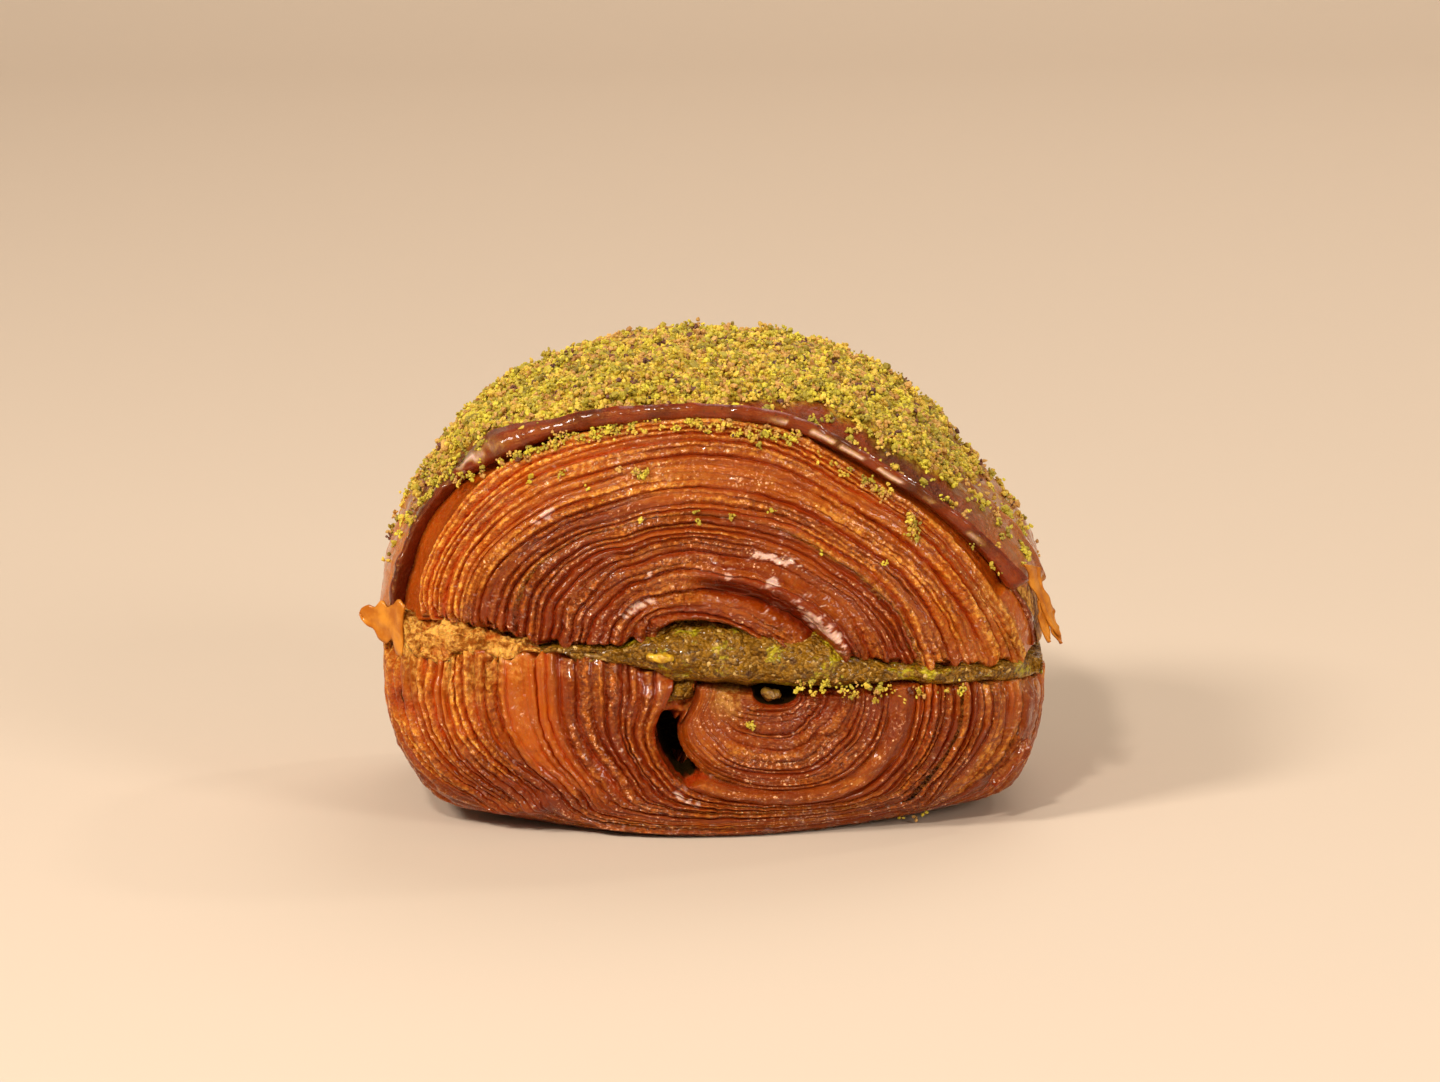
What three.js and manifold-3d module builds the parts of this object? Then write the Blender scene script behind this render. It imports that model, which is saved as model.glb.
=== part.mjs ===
// A pistachio pain au chocolat: one puck of rolled, laminated dough, lying with its roll's axis along Y.
// Both ends show the baked edges of the layers. A knife has opened it from the right, a hinge of torn
// dough holds it together on the left, and a slab of pistachio cream fills the cut from end to end.
// Millimetres, +Z up, X along the width. The origin is the middle of the flat underside.
import * as THREE from "three";
import Module from "manifold-3d";

const wasm = await Module();
wasm.setup();

// Driving dimensions of the whole puck.
const HALF_WIDTH = 48.4;
const HEIGHT = 66.3;
const HALF_DEPTH = 33;
const WAIST = 28; // height of the widest line, where the dome meets the cup below it
const DOME_ROUND = 1.9; // exponent of the dome's outline; 2 is an ellipse
const CUP_ROUND = { left: 3.4, right: 4.4 }; // exponents of the lower outline, nearly a rounded box
const CUP_DROP = 29; // the lower outline would reach this far under the waist: the tray flattens it

// Superellipse exponents with which the end face turns into the side, the crown and the foot.
const EDGE_SIDE = 4.2;
const EDGE_CROWN = 6;
const EDGE_FOOT = 14;

// Layers: how many show on each end, and how far their baked edges stand out.
const DOME_LAYERS = 12;
const COIL_LAYERS = 4;
const CUP_LAYERS = 12;
const RIDGE = 0.85;
const RIDGE_SHARE = 0.34; // a ridge is never higher than this share of its own width
const COLUMNS = 23; // points along each layer

// The skin that wraps the dome, and the shadowed step under its front edge.
const SKIN_LIP = 0.9;
const LIP_RECESS = 1.9;
const SKIN_ROWS = 12; // rows of points from the front edge of the skin to its back edge
const CUP_ROWS = 8; // the same round the cup
const DOME_DIP = 1.2; // the two halves overlap by this much and the next, and the cut parts them again
const CUP_RISE = 0.6;

// The knife's cut, and the cream in it.
const CUT_HEIGHT = 25.9; // over the origin
const CUT_SLOPE = -0.075; // it falls towards the right
const CREAM_LEFT = -24;
const CREAM_RIGHT = 47.6;
const CREAM_GAP = 0.3;
const KNIFE_REACH = 5; // the cut runs this far past the crust
const FAT = { middle: 3, left: 15, right: 22 }; // where the cream is fattest, and its reach either way
const FOOT_X = 45.5; // the end face is followed out to here
const HINGE_LEFT = -46.2;
const HINGE_RIGHT = -25.5;

// The open crescent beside the coil, and the pocket over its heart.
const CRESCENT_DEPTH = 11;
const POCKET = { x: 8.8, z: 20.4, halfWidth: 3.4, halfHeight: 2.2, depth: 9 };

// The largest nibs of the topping; the finer ones belong to the finish.
const CRUMBS = 46;
const CRUMB_RADIUS = 1.1;

const { lerp, clamp, degToRad } = THREE.MathUtils;
const power = (value, exponent) => Math.sign(value) * Math.abs(value) ** exponent;
const cutHeight = (x) => CUT_HEIGHT + CUT_SLOPE * x;

// Repeatable value noise between -1 and 1.
function hash(i, j, seed) {
  const value = Math.sin(i * 127.1 + j * 311.7 + seed * 74.7) * 43758.5453;
  return 2 * (value - Math.floor(value)) - 1;
}
function noise(u, v, seed) {
  const [i, j] = [Math.floor(u), Math.floor(v)];
  const [a, b] = [u - i, v - j].map((f) => f * f * (3 - 2 * f));
  const low = lerp(hash(i, j, seed), hash(i + 1, j, seed), a);
  const high = lerp(hash(i, j + 1, seed), hash(i + 1, j + 1, seed), a);
  return lerp(low, high, b);
}
function makeRandom(seed) {
  let state = seed;
  return () => {
    state = (Math.imul(state, 1664525) + 1013904223) >>> 0;
    return state / 2 ** 32;
  };
}

// The puck's own surface

// How far out (x, z) lies on an end face: 0 at the middle of the waist, 1 on the outline.
function reachOf(x, z) {
  const cupRound = lerp(CUP_ROUND.left, CUP_ROUND.right, clamp(0.5 + x / HALF_WIDTH, 0, 1));
  const [round, rise] = z > WAIST ? [DOME_ROUND, HEIGHT - WAIST] : [cupRound, CUP_DROP];
  return (Math.abs(x / HALF_WIDTH) ** round + Math.abs((z - WAIST) / rise) ** round) ** (1 / round);
}

// The exponent of the corner between end and side, in the direction of (x, z).
function edgeOf(x, z) {
  const climb = (z - WAIST) / Math.max(1e-6, Math.hypot(x, z - WAIST));
  const crown = Math.max(0, climb) ** 2;
  const foot = Math.max(0, -climb) ** 8;
  return EDGE_SIDE + (EDGE_CROWN - EDGE_SIDE) * crown + (EDGE_FOOT - EDGE_SIDE) * foot;
}

// The end face's distance from the middle of the roll, over (x, z).
function faceDepth(x, z) {
  const edge = edgeOf(x, z);
  const reach = Math.min(0.9995, reachOf(x, z));
  return HALF_DEPTH * (1 - reach ** edge) ** (1 / edge);
}

// The point of the side surface at depth y that lies in the direction of (x, z).
function sidePoint(x, z, y) {
  const edge = edgeOf(x, z);
  const share = (1 - Math.min(1, Math.abs(y) / HALF_DEPTH) ** edge) ** (1 / edge) / reachOf(x, z);
  return new THREE.Vector3(x * share, y, WAIST + (z - WAIST) * share);
}

// The layers' lines on an end face

// An arch or a cup of half superellipses from its left foot to its right one; s runs from 0 to 1.
function bow(s, left, middle, right, roundLeft, roundRight) {
  const turn = Math.PI * s;
  const [foot, round] = s < 0.5 ? [left, roundLeft] : [right, roundRight];
  const across = Math.abs(Math.cos(turn)) ** (2 / round);
  const along = Math.sin(turn) ** (2 / round);
  return [lerp(middle[0], foot[0], across), lerp(foot[1], middle[1], along)];
}

// Dome layers: t is 0 at the heart of the roll, 1 under the skin and LIP_T at the skin's own edge.
const LIP_T = 1.09;
function domeLine(t, s) {
  const left = -5 - 50 * t + 13 * t * t;
  const right = 10 + 43 * t - 8 * t * t;
  const crest = 32 + 28 * t;
  const rounds = [lerp(2.1, 2.0, t), lerp(1.9, 1.6, t)];
  const feet = [left, right].map((x) => [x, cutHeight(x) - DOME_DIP]);
  return bow(s, feet[0], [-2, crest], feet[1], ...rounds);
}

// Coil layers: the rolled-in start of the dough, from its heart at 0 to its outside at 1.
function coilLine(t, s) {
  const left = [lerp(4, -4.8, t), 27];
  const right = [lerp(13, 28, t), 26];
  return bow(s, left, [lerp(9, 11, t), lerp(17.5, 7.2, t)], right, 2.3, lerp(2.2, 2.5, t));
}

// Cup layers: the turns round the coil, from the innermost at 0 to the tray side at 1.
function cupLine(t, s) {
  const left = [-9 - 37.2 * t, 28.5];
  const right = [29.6 + 17.4 * t, 27];
  const middle = [lerp(11, 4, t), lerp(5.6, 0.4, t)];
  return bow(s, left, middle, right, lerp(2.4, 2.9, t), lerp(2.4, 2.9, t));
}

// Rows of points over an end

// A row is a function of s that gives a point; side is -1 at the front end and 1 at the back.
// The layers run through from end to end, so the back end has the front one's lines, mirrored in y.
function ended(side, [x, z], lift) {
  const at = (u, w) => new THREE.Vector3(u, -faceDepth(u, w), w);
  const step = 0.05;
  const ahead = at(x + step, z).sub(at(x - step, z));
  const above = at(x, z + step).sub(at(x, z - step));
  const out = ahead.cross(above).normalize();
  const point = at(x, z).addScaledVector(out, lift);
  point.z = Math.max(0, point.z);
  return side < 0 ? point : new THREE.Vector3(point.x, -point.y, point.z);
}

// Two rows for each layer of a family of lines: the groove before it and its own baked edge.
function layerRows(side, line, count, seed) {
  const rows = [];
  for (let k = 0; k < count; k++) {
    const width = (s) => {
      const [a, b] = [line(k / count, s), line((k + 1) / count, s)];
      return Math.hypot(a[0] - b[0], a[1] - b[1]);
    };
    const height = (s) => {
      const uneven = 1 + 0.35 * noise(k * 3.7, s * 5, seed);
      return uneven * Math.min(RIDGE, RIDGE_SHARE * width(s));
    };
    const wander = (s) => 0.13 * noise(k * 1.9, s * 7, seed + 9);
    rows.push((s) => ended(side, line((k + (k ? wander(s) : 0)) / count, s), -height(s)));
    rows.push((s) => ended(side, line((k + 0.5 + wander(s)) / count, s), height(s)));
  }
  return rows;
}

// A closed solid from rows that run front to back, each from its left foot to its right foot: the rows
// make the outside, and a shallow cone to one inner point joins all their feet.
function closedShell(rows, inner, outwards) {
  const points = rows.flatMap((row) =>
    Array.from({ length: COLUMNS + 1 }, (_, j) => row(j / COLUMNS)),
  );
  const at = (i, j) => i * (COLUMNS + 1) + j;
  const faces = [];
  for (let i = 0; i + 1 < rows.length; i++)
    for (let j = 0; j < COLUMNS; j++) {
      const [a, b, c, d] = [at(i, j), at(i, j + 1), at(i + 1, j + 1), at(i + 1, j)];
      faces.push([a, b, c], [a, c, d]);
    }
  const last = rows.length - 1;
  const loop = [];
  for (let i = 0; i <= last; i++) loop.push(at(i, 0));
  for (let j = 1; j <= COLUMNS; j++) loop.push(at(last, j));
  for (let i = last - 1; i >= 0; i--) loop.push(at(i, COLUMNS));
  for (let j = COLUMNS - 1; j > 0; j--) loop.push(at(0, j));
  const tip = points.push(inner) - 1;
  loop.forEach((foot, k) => faces.push([foot, loop[(k + 1) % loop.length], tip]));
  return solidFrom(points, outwards ? faces : faces.map((face) => face.toReversed()));
}

function solidFrom(points, faces) {
  const vertProperties = new Float32Array(points.flatMap((p) => [p.x, p.y, p.z]));
  const triVerts = new Uint32Array(faces.flat());
  const mesh = new wasm.Mesh({ numProp: 3, vertProperties, triVerts });
  return new wasm.Manifold(mesh);
}

function solidOf(geometry) {
  const place = geometry.getAttribute("position");
  const keys = new Map();
  const points = [];
  const index = Array.from({ length: place.count }, (_, i) => {
    const point = new THREE.Vector3().fromBufferAttribute(place, i);
    const key = point.toArray().map((v) => Math.round(v * 1e4)).join();
    if (!keys.has(key)) keys.set(key, points.push(point) - 1);
    return keys.get(key);
  });
  const corners = geometry.index ? Array.from(geometry.index.array, (i) => index[i]) : index;
  const faces = [];
  for (let i = 0; i < corners.length; i += 3) {
    const face = corners.slice(i, i + 3);
    if (new Set(face).size === 3) faces.push(face);
  }
  return solidFrom(points, faces);
}

// A straight row that closes a face at its heart, bowed a little so that its points aren't in line.
function heartRow(side, line, height) {
  const [from, to] = [line(0, 0), line(0, 1)];
  return (s) => {
    const x = lerp(from[0] + 0.6, to[0] - 0.6, s);
    const depth = faceDepth(x, height(x)) - 1.6 + 0.8 * Math.sin(Math.PI * s);
    return new THREE.Vector3(x, side * depth, height(x));
  };
}

// Dome: arches of layers under a skin

// The skin from its front edge to its back edge, dimpled where the topping lies on it.
function skinRow(share) {
  return (s) => {
    const [x, z] = domeLine(LIP_T, s);
    const y = -faceDepth(x, z) * Math.cos(Math.PI * share);
    const point = sidePoint(x, z, y);
    const out = new THREE.Vector3(point.x, 0, point.z - WAIST).normalize();
    const topped = clamp((point.z - 46) / 10, 0, 1);
    return point.addScaledVector(out, SKIN_LIP * 0.5 + 0.35 * topped * noise(s * 40, share * 20, 5));
  };
}

function domeEnd(side) {
  const under = (x) => cutHeight(x) - DOME_DIP;
  return [
    heartRow(side, domeLine, under),
    ...layerRows(side, domeLine, DOME_LAYERS, 3 + side),
    (s) => ended(side, domeLine(1, s), -LIP_RECESS * 0.7),
    (s) => ended(side, domeLine(lerp(1, LIP_T, 0.7), s), -LIP_RECESS),
    (s) => ended(side, domeLine(lerp(1, LIP_T, 0.8), s), SKIN_LIP),
  ];
}

function dome() {
  const skin = Array.from({ length: SKIN_ROWS + 1 }, (_, i) => skinRow(i / SKIN_ROWS));
  const rows = [...domeEnd(-1), ...skin, ...domeEnd(1).reverse()];
  return closedShell(rows, new THREE.Vector3(0, 0, CUT_HEIGHT - 2.5), true);
}

// Cup: turns of layers round a coil

function cupEnd(side) {
  const over = (x) => cutHeight(x) + CUP_RISE;
  // The crescent is open on the left of the coil, and shut by the time it passes under it.
  const open = (s) => CRESCENT_DEPTH * clamp((0.3 - s) / 0.12, 0, 1) + 0.9;
  return [
    heartRow(side, coilLine, over),
    ...layerRows(side, coilLine, COIL_LAYERS, 21 + side),
    (s) => ended(side, coilLine(0.97, s), 0),
    (s) => ended(side, coilLine(1, s), -open(s)),
    (s) => ended(side, cupLine(0, s), -open(s)),
    (s) => ended(side, cupLine(0.01, s), 0),
    ...layerRows(side, (t, s) => cupLine(lerp(0.02, 1, t), s), CUP_LAYERS, 41 + side).slice(1),
  ];
}

function cupSideRow(share) {
  return (s) => {
    const [x, z] = cupLine(1, s);
    const y = -faceDepth(x, z) * Math.cos(Math.PI * share);
    const point = sidePoint(x, z, y);
    point.z = Math.max(0, point.z);
    return point;
  };
}

function cup() {
  const sides = Array.from({ length: CUP_ROWS + 1 }, (_, i) => cupSideRow(i / CUP_ROWS));
  const rows = [...cupEnd(-1), ...sides, ...cupEnd(1).reverse()];
  return closedShell(rows, new THREE.Vector3(0, 0, CUT_HEIGHT + 2), false);
}

// Cream and hinge

// A lumpy slab across the puck from one x to another, in stations of points round a rounded oblong.
function slab({ from, to, stations, around, top, bottom, proud }) {
  const points = [];
  for (let i = 0; i <= stations; i++) {
    const x = lerp(from, to, i / stations);
    const [high, low] = [top(x), bottom(x)];
    const depth = faceDepth(Math.min(Math.abs(x), FOOT_X) * Math.sign(x), cutHeight(x));
    for (let j = 0; j < around; j++) {
      const turn = (2 * Math.PI * j) / around;
      const y = (depth + proud(x, j)) * power(Math.cos(turn), 0.35);
      const z = lerp(low, high, 0.5 + 0.5 * power(Math.sin(turn), 0.7));
      points.push(new THREE.Vector3(x, y, z));
    }
  }
  const faces = [];
  for (let i = 0; i < stations; i++)
    for (let j = 0; j < around; j++) {
      const next = (j + 1) % around;
      const [a, b] = [i * around + j, i * around + next];
      faces.push([a, b, b + around], [a, b + around, a + around]);
    }
  const end = stations * around;
  for (let j = 1; j + 1 < around; j++) {
    faces.push([0, j + 1, j], [end, end + j, end + j + 1]);
  }
  return solidFrom(points, faces);
}

// Where the cream is fat: 1 in the middle of the front, 0 to the left and right of it.
function fatness(x) {
  const across = (x - FAT.middle) / (x < FAT.middle ? FAT.left : FAT.right);
  return clamp(1 - Math.abs(across) ** 3, 0, 1);
}

// The slab of cream, grown by a gap and stretched by a reach when it is the shape of the cut.
function creamSlab(grow, reach) {
  const from = CREAM_LEFT - grow;
  const taper = (x) => clamp((x - from) / 5, 0.35, 1);
  return slab({
    from,
    to: CREAM_RIGHT + grow + reach,
    stations: 24,
    around: 18,
    top: (x) => cutHeight(x) + taper(x) * (1.2 + 4.2 * fatness(x)) + grow,
    bottom: (x) => cutHeight(x) - taper(x) * (1.4 + 2.8 * fatness(x)) - grow,
    proud: (x, j) => reach || 0.5 * noise(x / 3, j * 1.3, 61) + 1.6 * fatness(x),
  });
}

// The torn crumb that still joins the two halves on the left.
function hinge() {
  const taper = (x) => clamp((HINGE_RIGHT - x) / 8, 0.2, 1);
  return slab({
    from: HINGE_LEFT,
    to: HINGE_RIGHT,
    stations: 9,
    around: 16,
    top: (x) => cutHeight(x) + taper(x) * (3.4 + noise(x / 2, 3, 71)),
    bottom: (x) => cutHeight(x) - taper(x) * (3.2 + noise(x / 2, 8, 71)),
    proud: (x, j) => 0.4 + 0.5 * noise(x / 2, j * 1.3, 73),
  });
}

// Small pieces fused on

// Flakes of crust that have lifted, each an outline in X and Z with its place and thickness along Y.
const FLAKES = [
  { outline: [[-46, 36], [-49.6, 33.6], [-48.3, 32], [-49, 30.6], [-45.5, 27.6]], y: -14, thick: 1.1 },
  { outline: [[45, 37], [45, 29], [46.6, 28.6], [47.6, 26.4], [49.2, 29.8]], y: -15, thick: 1.2 },
  { outline: [[38, 7], [40, 4], [45.4, 10.2], [43.8, 10.6]], y: -20, thick: 1.4 },
];
function flake({ outline, y, thick }) {
  const shape = new THREE.Shape(outline.map(([x, z]) => new THREE.Vector2(x, z)));
  const geometry = new THREE.ExtrudeGeometry(shape, { depth: thick, bevelEnabled: false });
  geometry.rotateX(degToRad(90));
  geometry.translate(0, y, 0);
  return solidOf(geometry);
}

// One nibbed pistachio crumb, a lump of 20 faces.
function crumb(centre, radius, random) {
  const geometry = new THREE.IcosahedronGeometry(radius, 0);
  geometry.scale(0.8 + 0.5 * random(), 0.8 + 0.5 * random(), 0.7 + 0.4 * random());
  geometry.rotateX(random() * Math.PI);
  geometry.rotateZ(random() * Math.PI);
  geometry.translate(centre.x, centre.y, centre.z);
  return solidOf(geometry);
}

// The largest crumbs, spread evenly over the dome by the golden angle.
function topping() {
  const random = makeRandom(7);
  const golden = Math.PI * (3 - Math.sqrt(5));
  const pieces = [];
  for (let k = 0; k < CRUMBS; k++) {
    const turn = k * golden;
    const reach = Math.sqrt((k + 0.5) / CRUMBS);
    const s = 0.5 - 0.33 * reach * Math.cos(turn);
    const share = 0.5 + 0.42 * reach * Math.sin(turn);
    pieces.push(crumb(skinRow(share)(s), CRUMB_RADIUS * (0.8 + 0.4 * random()), random));
  }
  return pieces;
}

// The pocket that gapes on the front end between the cream and the heart of the coil.
function pocket() {
  const geometry = new THREE.SphereGeometry(1, 10, 6);
  geometry.scale(POCKET.halfWidth, POCKET.depth, POCKET.halfHeight);
  geometry.translate(POCKET.x, -HALF_DEPTH, POCKET.z);
  return solidOf(geometry);
}

// The nodes

function meshOf(solid, name, material) {
  const { vertProperties, triVerts } = solid.getMesh();
  const geometry = new THREE.BufferGeometry();
  geometry.setAttribute("position", new THREE.BufferAttribute(vertProperties, 3));
  geometry.setIndex(new THREE.BufferAttribute(triVerts, 1));
  geometry.computeVertexNormals();
  const mesh = new THREE.Mesh(geometry, material);
  mesh.name = name;
  return mesh;
}

const crust = new THREE.MeshStandardMaterial({ color: 0xb5651f, roughness: 0.4, metalness: 0 });
const paste = new THREE.MeshStandardMaterial({ color: 0x8c7a2a, roughness: 0.5, metalness: 0 });

const dough = [dome(), cup(), hinge(), ...FLAKES.map(flake), ...topping()];
const cut = wasm.Manifold.union(dough)
  .subtract(creamSlab(CREAM_GAP, KNIFE_REACH))
  .subtract(pocket());
// The cut can free a shaving of the crust, which isn't kept.
const pastry = cut.decompose().sort((a, b) => b.volume() - a.volume())[0];

const group = new THREE.Group();
group.add(meshOf(pastry, "pastry", crust));
group.add(meshOf(creamSlab(0, 0), "pistachio_cream", paste));
export default group;
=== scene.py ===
# %% [markdown]
# A pistachio pain au chocolat, built as surfaces of layered dough
#
# The dough is laminated, rolled up with cream in it, and baked lying on its side, so both ends of the
# roll show the edges of its layers. A knife has opened it from the right. This lesson makes the dome
# above the cut, the cup below it, the cream between them and the chopped nuts on top, each as a surface
# worked out from a few sizes of the real thing. All lengths here are millimetres until a mesh is made.

import math

import bpy
import numpy as np
from mathutils import Matrix, Vector


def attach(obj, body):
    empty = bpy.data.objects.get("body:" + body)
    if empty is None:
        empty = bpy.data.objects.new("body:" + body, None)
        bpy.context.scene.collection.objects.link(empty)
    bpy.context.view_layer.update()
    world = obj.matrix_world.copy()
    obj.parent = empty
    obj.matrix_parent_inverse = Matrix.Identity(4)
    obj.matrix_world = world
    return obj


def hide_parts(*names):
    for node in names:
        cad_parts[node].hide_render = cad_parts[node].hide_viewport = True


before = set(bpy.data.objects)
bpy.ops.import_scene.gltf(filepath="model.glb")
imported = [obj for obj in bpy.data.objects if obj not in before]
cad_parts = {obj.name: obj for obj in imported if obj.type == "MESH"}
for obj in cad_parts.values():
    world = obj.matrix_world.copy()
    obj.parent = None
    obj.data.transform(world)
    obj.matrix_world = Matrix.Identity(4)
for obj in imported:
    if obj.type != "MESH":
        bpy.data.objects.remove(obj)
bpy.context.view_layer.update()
MM = 0.001

# %% [markdown]
# Camera
#
# The photograph was taken with a long lens from a little above the table. Its place was solved from the
# round board under the pastry, so the camera is set from a position, a downward pitch and a slight roll.

# %% The camera
CAMERA_PLACE = (0.0016, -0.9278, 0.2160)
CAMERA_PITCH, CAMERA_ROLL = math.radians(10.926), math.radians(-0.595)
LENS, SENSOR_WIDTH = 161.8, 36

ahead = Vector((0, math.cos(CAMERA_PITCH), -math.sin(CAMERA_PITCH)))
level = Vector((0, math.sin(CAMERA_PITCH), math.cos(CAMERA_PITCH)))
right = math.cos(CAMERA_ROLL) * Vector((1, 0, 0)) + math.sin(CAMERA_ROLL) * level
above = math.cos(CAMERA_ROLL) * level - math.sin(CAMERA_ROLL) * Vector((1, 0, 0))
camera = bpy.data.objects.new("camera", bpy.data.cameras.new("camera"))
camera.data.lens = LENS
camera.data.sensor_width = SENSOR_WIDTH
turn = Matrix((right, above, -ahead)).transposed()
camera.matrix_world = Matrix.Translation(CAMERA_PLACE) @ turn.to_4x4()
bpy.context.collection.objects.link(camera)
bpy.context.scene.camera = camera
print("camera pitch", round(math.degrees(CAMERA_PITCH), 1), "degrees down, lens", LENS)

# %% [markdown]
# Unevenness
#
# Dough is never even. Every wobble below comes from one repeatable noise, made from numbers on a
# whole-numbered lattice that are blended smoothly between the lattice points. A seed picks the numbers.


# %% Repeatable noise
def lattice(i, j, k, seed):
    """A number between -1 and 1 for each cell: the cell's three numbers, multiplied and mixed."""
    mixed = (i * 73856093) ^ (j * 19349663) ^ (k * 83492791) ^ (seed * 2654435761)
    for shift, factor in ((13, 1274126177), (16, 2246822519)):
        mixed = (mixed ^ (mixed >> shift)) * factor & 0xFFFFFFFF
    return (mixed & 0xFFFFFF) / 0x7FFFFF - 1


def ease(f):
    """3f^2 - 2f^3, which leaves 0 and reaches 1 without a corner."""
    return f * f * (3 - 2 * f)


def noise(seed, u, v=0.0, w=0.0):
    """The lattice numbers of the eight cells around (u, v, w), eased from one to the next each way."""
    place = np.broadcast_arrays(*(np.asarray(n, float) for n in (u, v, w)))
    cells = [np.floor(n).astype(np.int64) for n in place]
    blend = [ease(n - c) for n, c in zip(place, cells)]
    total = 0.0
    for corner in range(8):
        steps = [corner >> n & 1 for n in range(3)]
        share = math.prod(b if step else 1 - b for step, b in zip(steps, blend))
        total = total + share * lattice(*(c + step for c, step in zip(cells, steps)), seed)
    return total


def rough(seed, *place, octaves=3):
    """Noise plus the same at twice the rate and half the strength, and so on."""
    return sum(noise(seed + n, *(c * 2**n for c in place)) / 2**n for n in range(octaves))


def smooth(value, low, high):
    """0 below low, 1 above high, and eased between them."""
    return ease(np.clip((value - low) / (high - low), 0, 1))


def hump(value, middle, width):
    """1 at the middle, falling off both ways as exp(-d^2), where d is the distance over the width."""
    return np.exp(-(((value - middle) / width) ** 2))


def mix(a, b, share):
    """a at 0, b at 1."""
    return a + (b - a) * share


# %% [markdown]
# The puck
#
# Seen from the end the pastry is an arch above its widest line and a rounded box below it. Seen along the
# roll, each end bulges and turns into the side on a soft corner. Both are superellipses, whose exponent
# says how square they are, so that one formula gives the end faces and the sides, and they meet.

# %% The puck's surface
HALF_WIDTH, HEIGHT, HALF_DEPTH = 48.4, 66.3, 33.0
WAIST, CUP_DROP = 28.0, 29.0
DOME_ROUND, CUP_LEFT_ROUND, CUP_RIGHT_ROUND = 1.9, 4.0, 4.4
EDGE_SIDE, EDGE_CROWN, EDGE_FOOT = 4.2, 6.0, 14.0
CUT_HEIGHT, CUT_SLOPE = 25.9, -0.075
SLOPE_STEP, STEEPEST = 0.08, 3


def reach(x, z):
    """How far out (x, z) lies on an end: (|x|/width)^n + (|z|/rise)^n, to the power 1/n."""
    cup = mix(CUP_LEFT_ROUND, CUP_RIGHT_ROUND, np.clip(0.5 + x / HALF_WIDTH, 0, 1))
    n = np.where(z > WAIST, DOME_ROUND, cup)
    rise = np.where(z > WAIST, HEIGHT - WAIST, CUP_DROP)
    return (np.abs(x / HALF_WIDTH) ** n + np.abs((z - WAIST) / rise) ** n) ** (1 / n)


def corner_of(x, z):
    """The exponent of the corner between end and side: the side's, raised at the crown and the foot."""
    climb = (z - WAIST) / np.maximum(1e-6, np.hypot(x, z - WAIST))
    crown, foot = np.maximum(0, climb) ** 2, np.maximum(0, -climb) ** 8
    return EDGE_SIDE + (EDGE_CROWN - EDGE_SIDE) * crown + (EDGE_FOOT - EDGE_SIDE) * foot


def face_depth(x, z):
    """The end face's distance from the middle of the roll: depth * (1 - reach^n)^(1/n)."""
    n = corner_of(x, z)
    return HALF_DEPTH * (1 - np.minimum(0.9995, reach(x, z)) ** n) ** (1 / n)


def unit(vectors):
    """The same directions with a length of 1."""
    return vectors / np.linalg.norm(vectors, axis=-1, keepdims=True)


def face_point(x, z):
    """The point of the front end over (x, z) and the way it faces, from the slopes of face_depth."""
    step = SLOPE_STEP
    slope_x = (face_depth(x - step, z) - face_depth(x + step, z)) / (2 * step)
    slope_z = (face_depth(x, z - step) - face_depth(x, z + step)) / (2 * step)
    slope_x, slope_z = (slope.clip(-STEEPEST, STEEPEST) for slope in (slope_x, slope_z))
    out = unit(np.stack([slope_x, np.full_like(x, -1.0), slope_z], -1))
    return np.stack([x, -face_depth(x, z), z], -1), out


def side_point(x, z, y):
    """The side's point at depth y in the direction of (x, z) from the waist, and the way it faces."""
    n = corner_of(x, z)
    share = (1 - np.minimum(1, np.abs(y) / HALF_DEPTH) ** n) ** (1 / n) / reach(x, z)
    point = np.stack([x * share, y, WAIST + (z - WAIST) * share], -1)
    roll = (np.abs(y) / HALF_DEPTH) ** (n - 1) * np.sign(y)
    return point, unit(np.stack(np.broadcast_arrays(x, roll * np.hypot(x, z - WAIST), z - WAIST), -1))


def cut_height(x):
    """The knife's plane: it falls towards the right."""
    return CUT_HEIGHT + CUT_SLOPE * x


print("depth of the end face at its middle", face_depth(np.zeros(1), np.full(1, 30.0)).round(1))

# %% [markdown]
# Lines of the layers
#
# On an end face every layer is a bow from a left foot to a right foot: an arch in the dome, a cup below
# the cut, a small cup in the coil. A bow is two half superellipses that share their middle. One number,
# t, picks the layer, and another, s, walks along it from 0 to 1, so a grid of t and s covers the face.
# On the left the two sides of the cut swell towards each other, most of all at one place.

# %% Bows
PINCH = (-20, 8.5)


def bow(s, left, middle, right, round_left, round_right):
    """x and z at s: |cos|^(2/n) of the way out to a foot, sin^(2/n) of the way to the middle, with n
    nearly 2 at the middle, so that the two halves meet without a corner."""
    turn = np.pi * s
    first = s < 0.5
    flat_middle = np.maximum(2.05, 0.5 * (round_left + round_right))
    n = mix(flat_middle, np.where(first, round_left, round_right), smooth(np.abs(2 * s - 1), 0.0, 0.45))
    across, along = np.abs(np.cos(turn)) ** (2 / n), np.maximum(0, np.sin(turn)) ** (2 / n)
    foot_x, foot_z = (np.where(first, left[i], right[i]) for i in (0, 1))
    return mix(middle[0], foot_x, across), mix(foot_z, middle[1], along)


def dome_line(t, s):
    """Arches: t is 0 over the cream and 1 under the skin."""
    def foot(x, seed):
        gap = 2.9 - 2.2 * hump(x, *PINCH) - 1.7 * smooth(x, -5, 25)
        return x, cut_height(x) + gap + 0.8 * noise(seed, t * 27)

    left, right = foot(-7.5 - 48 * t + 14.4 * t**2, 19), foot(8 + 52 * t - 14.8 * t**2, 20)
    return bow(s, left, (-1.5, 32.5 + 28 * t), right, mix(2.0, 2.25, t), mix(1.9, 1.6, t))


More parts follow.
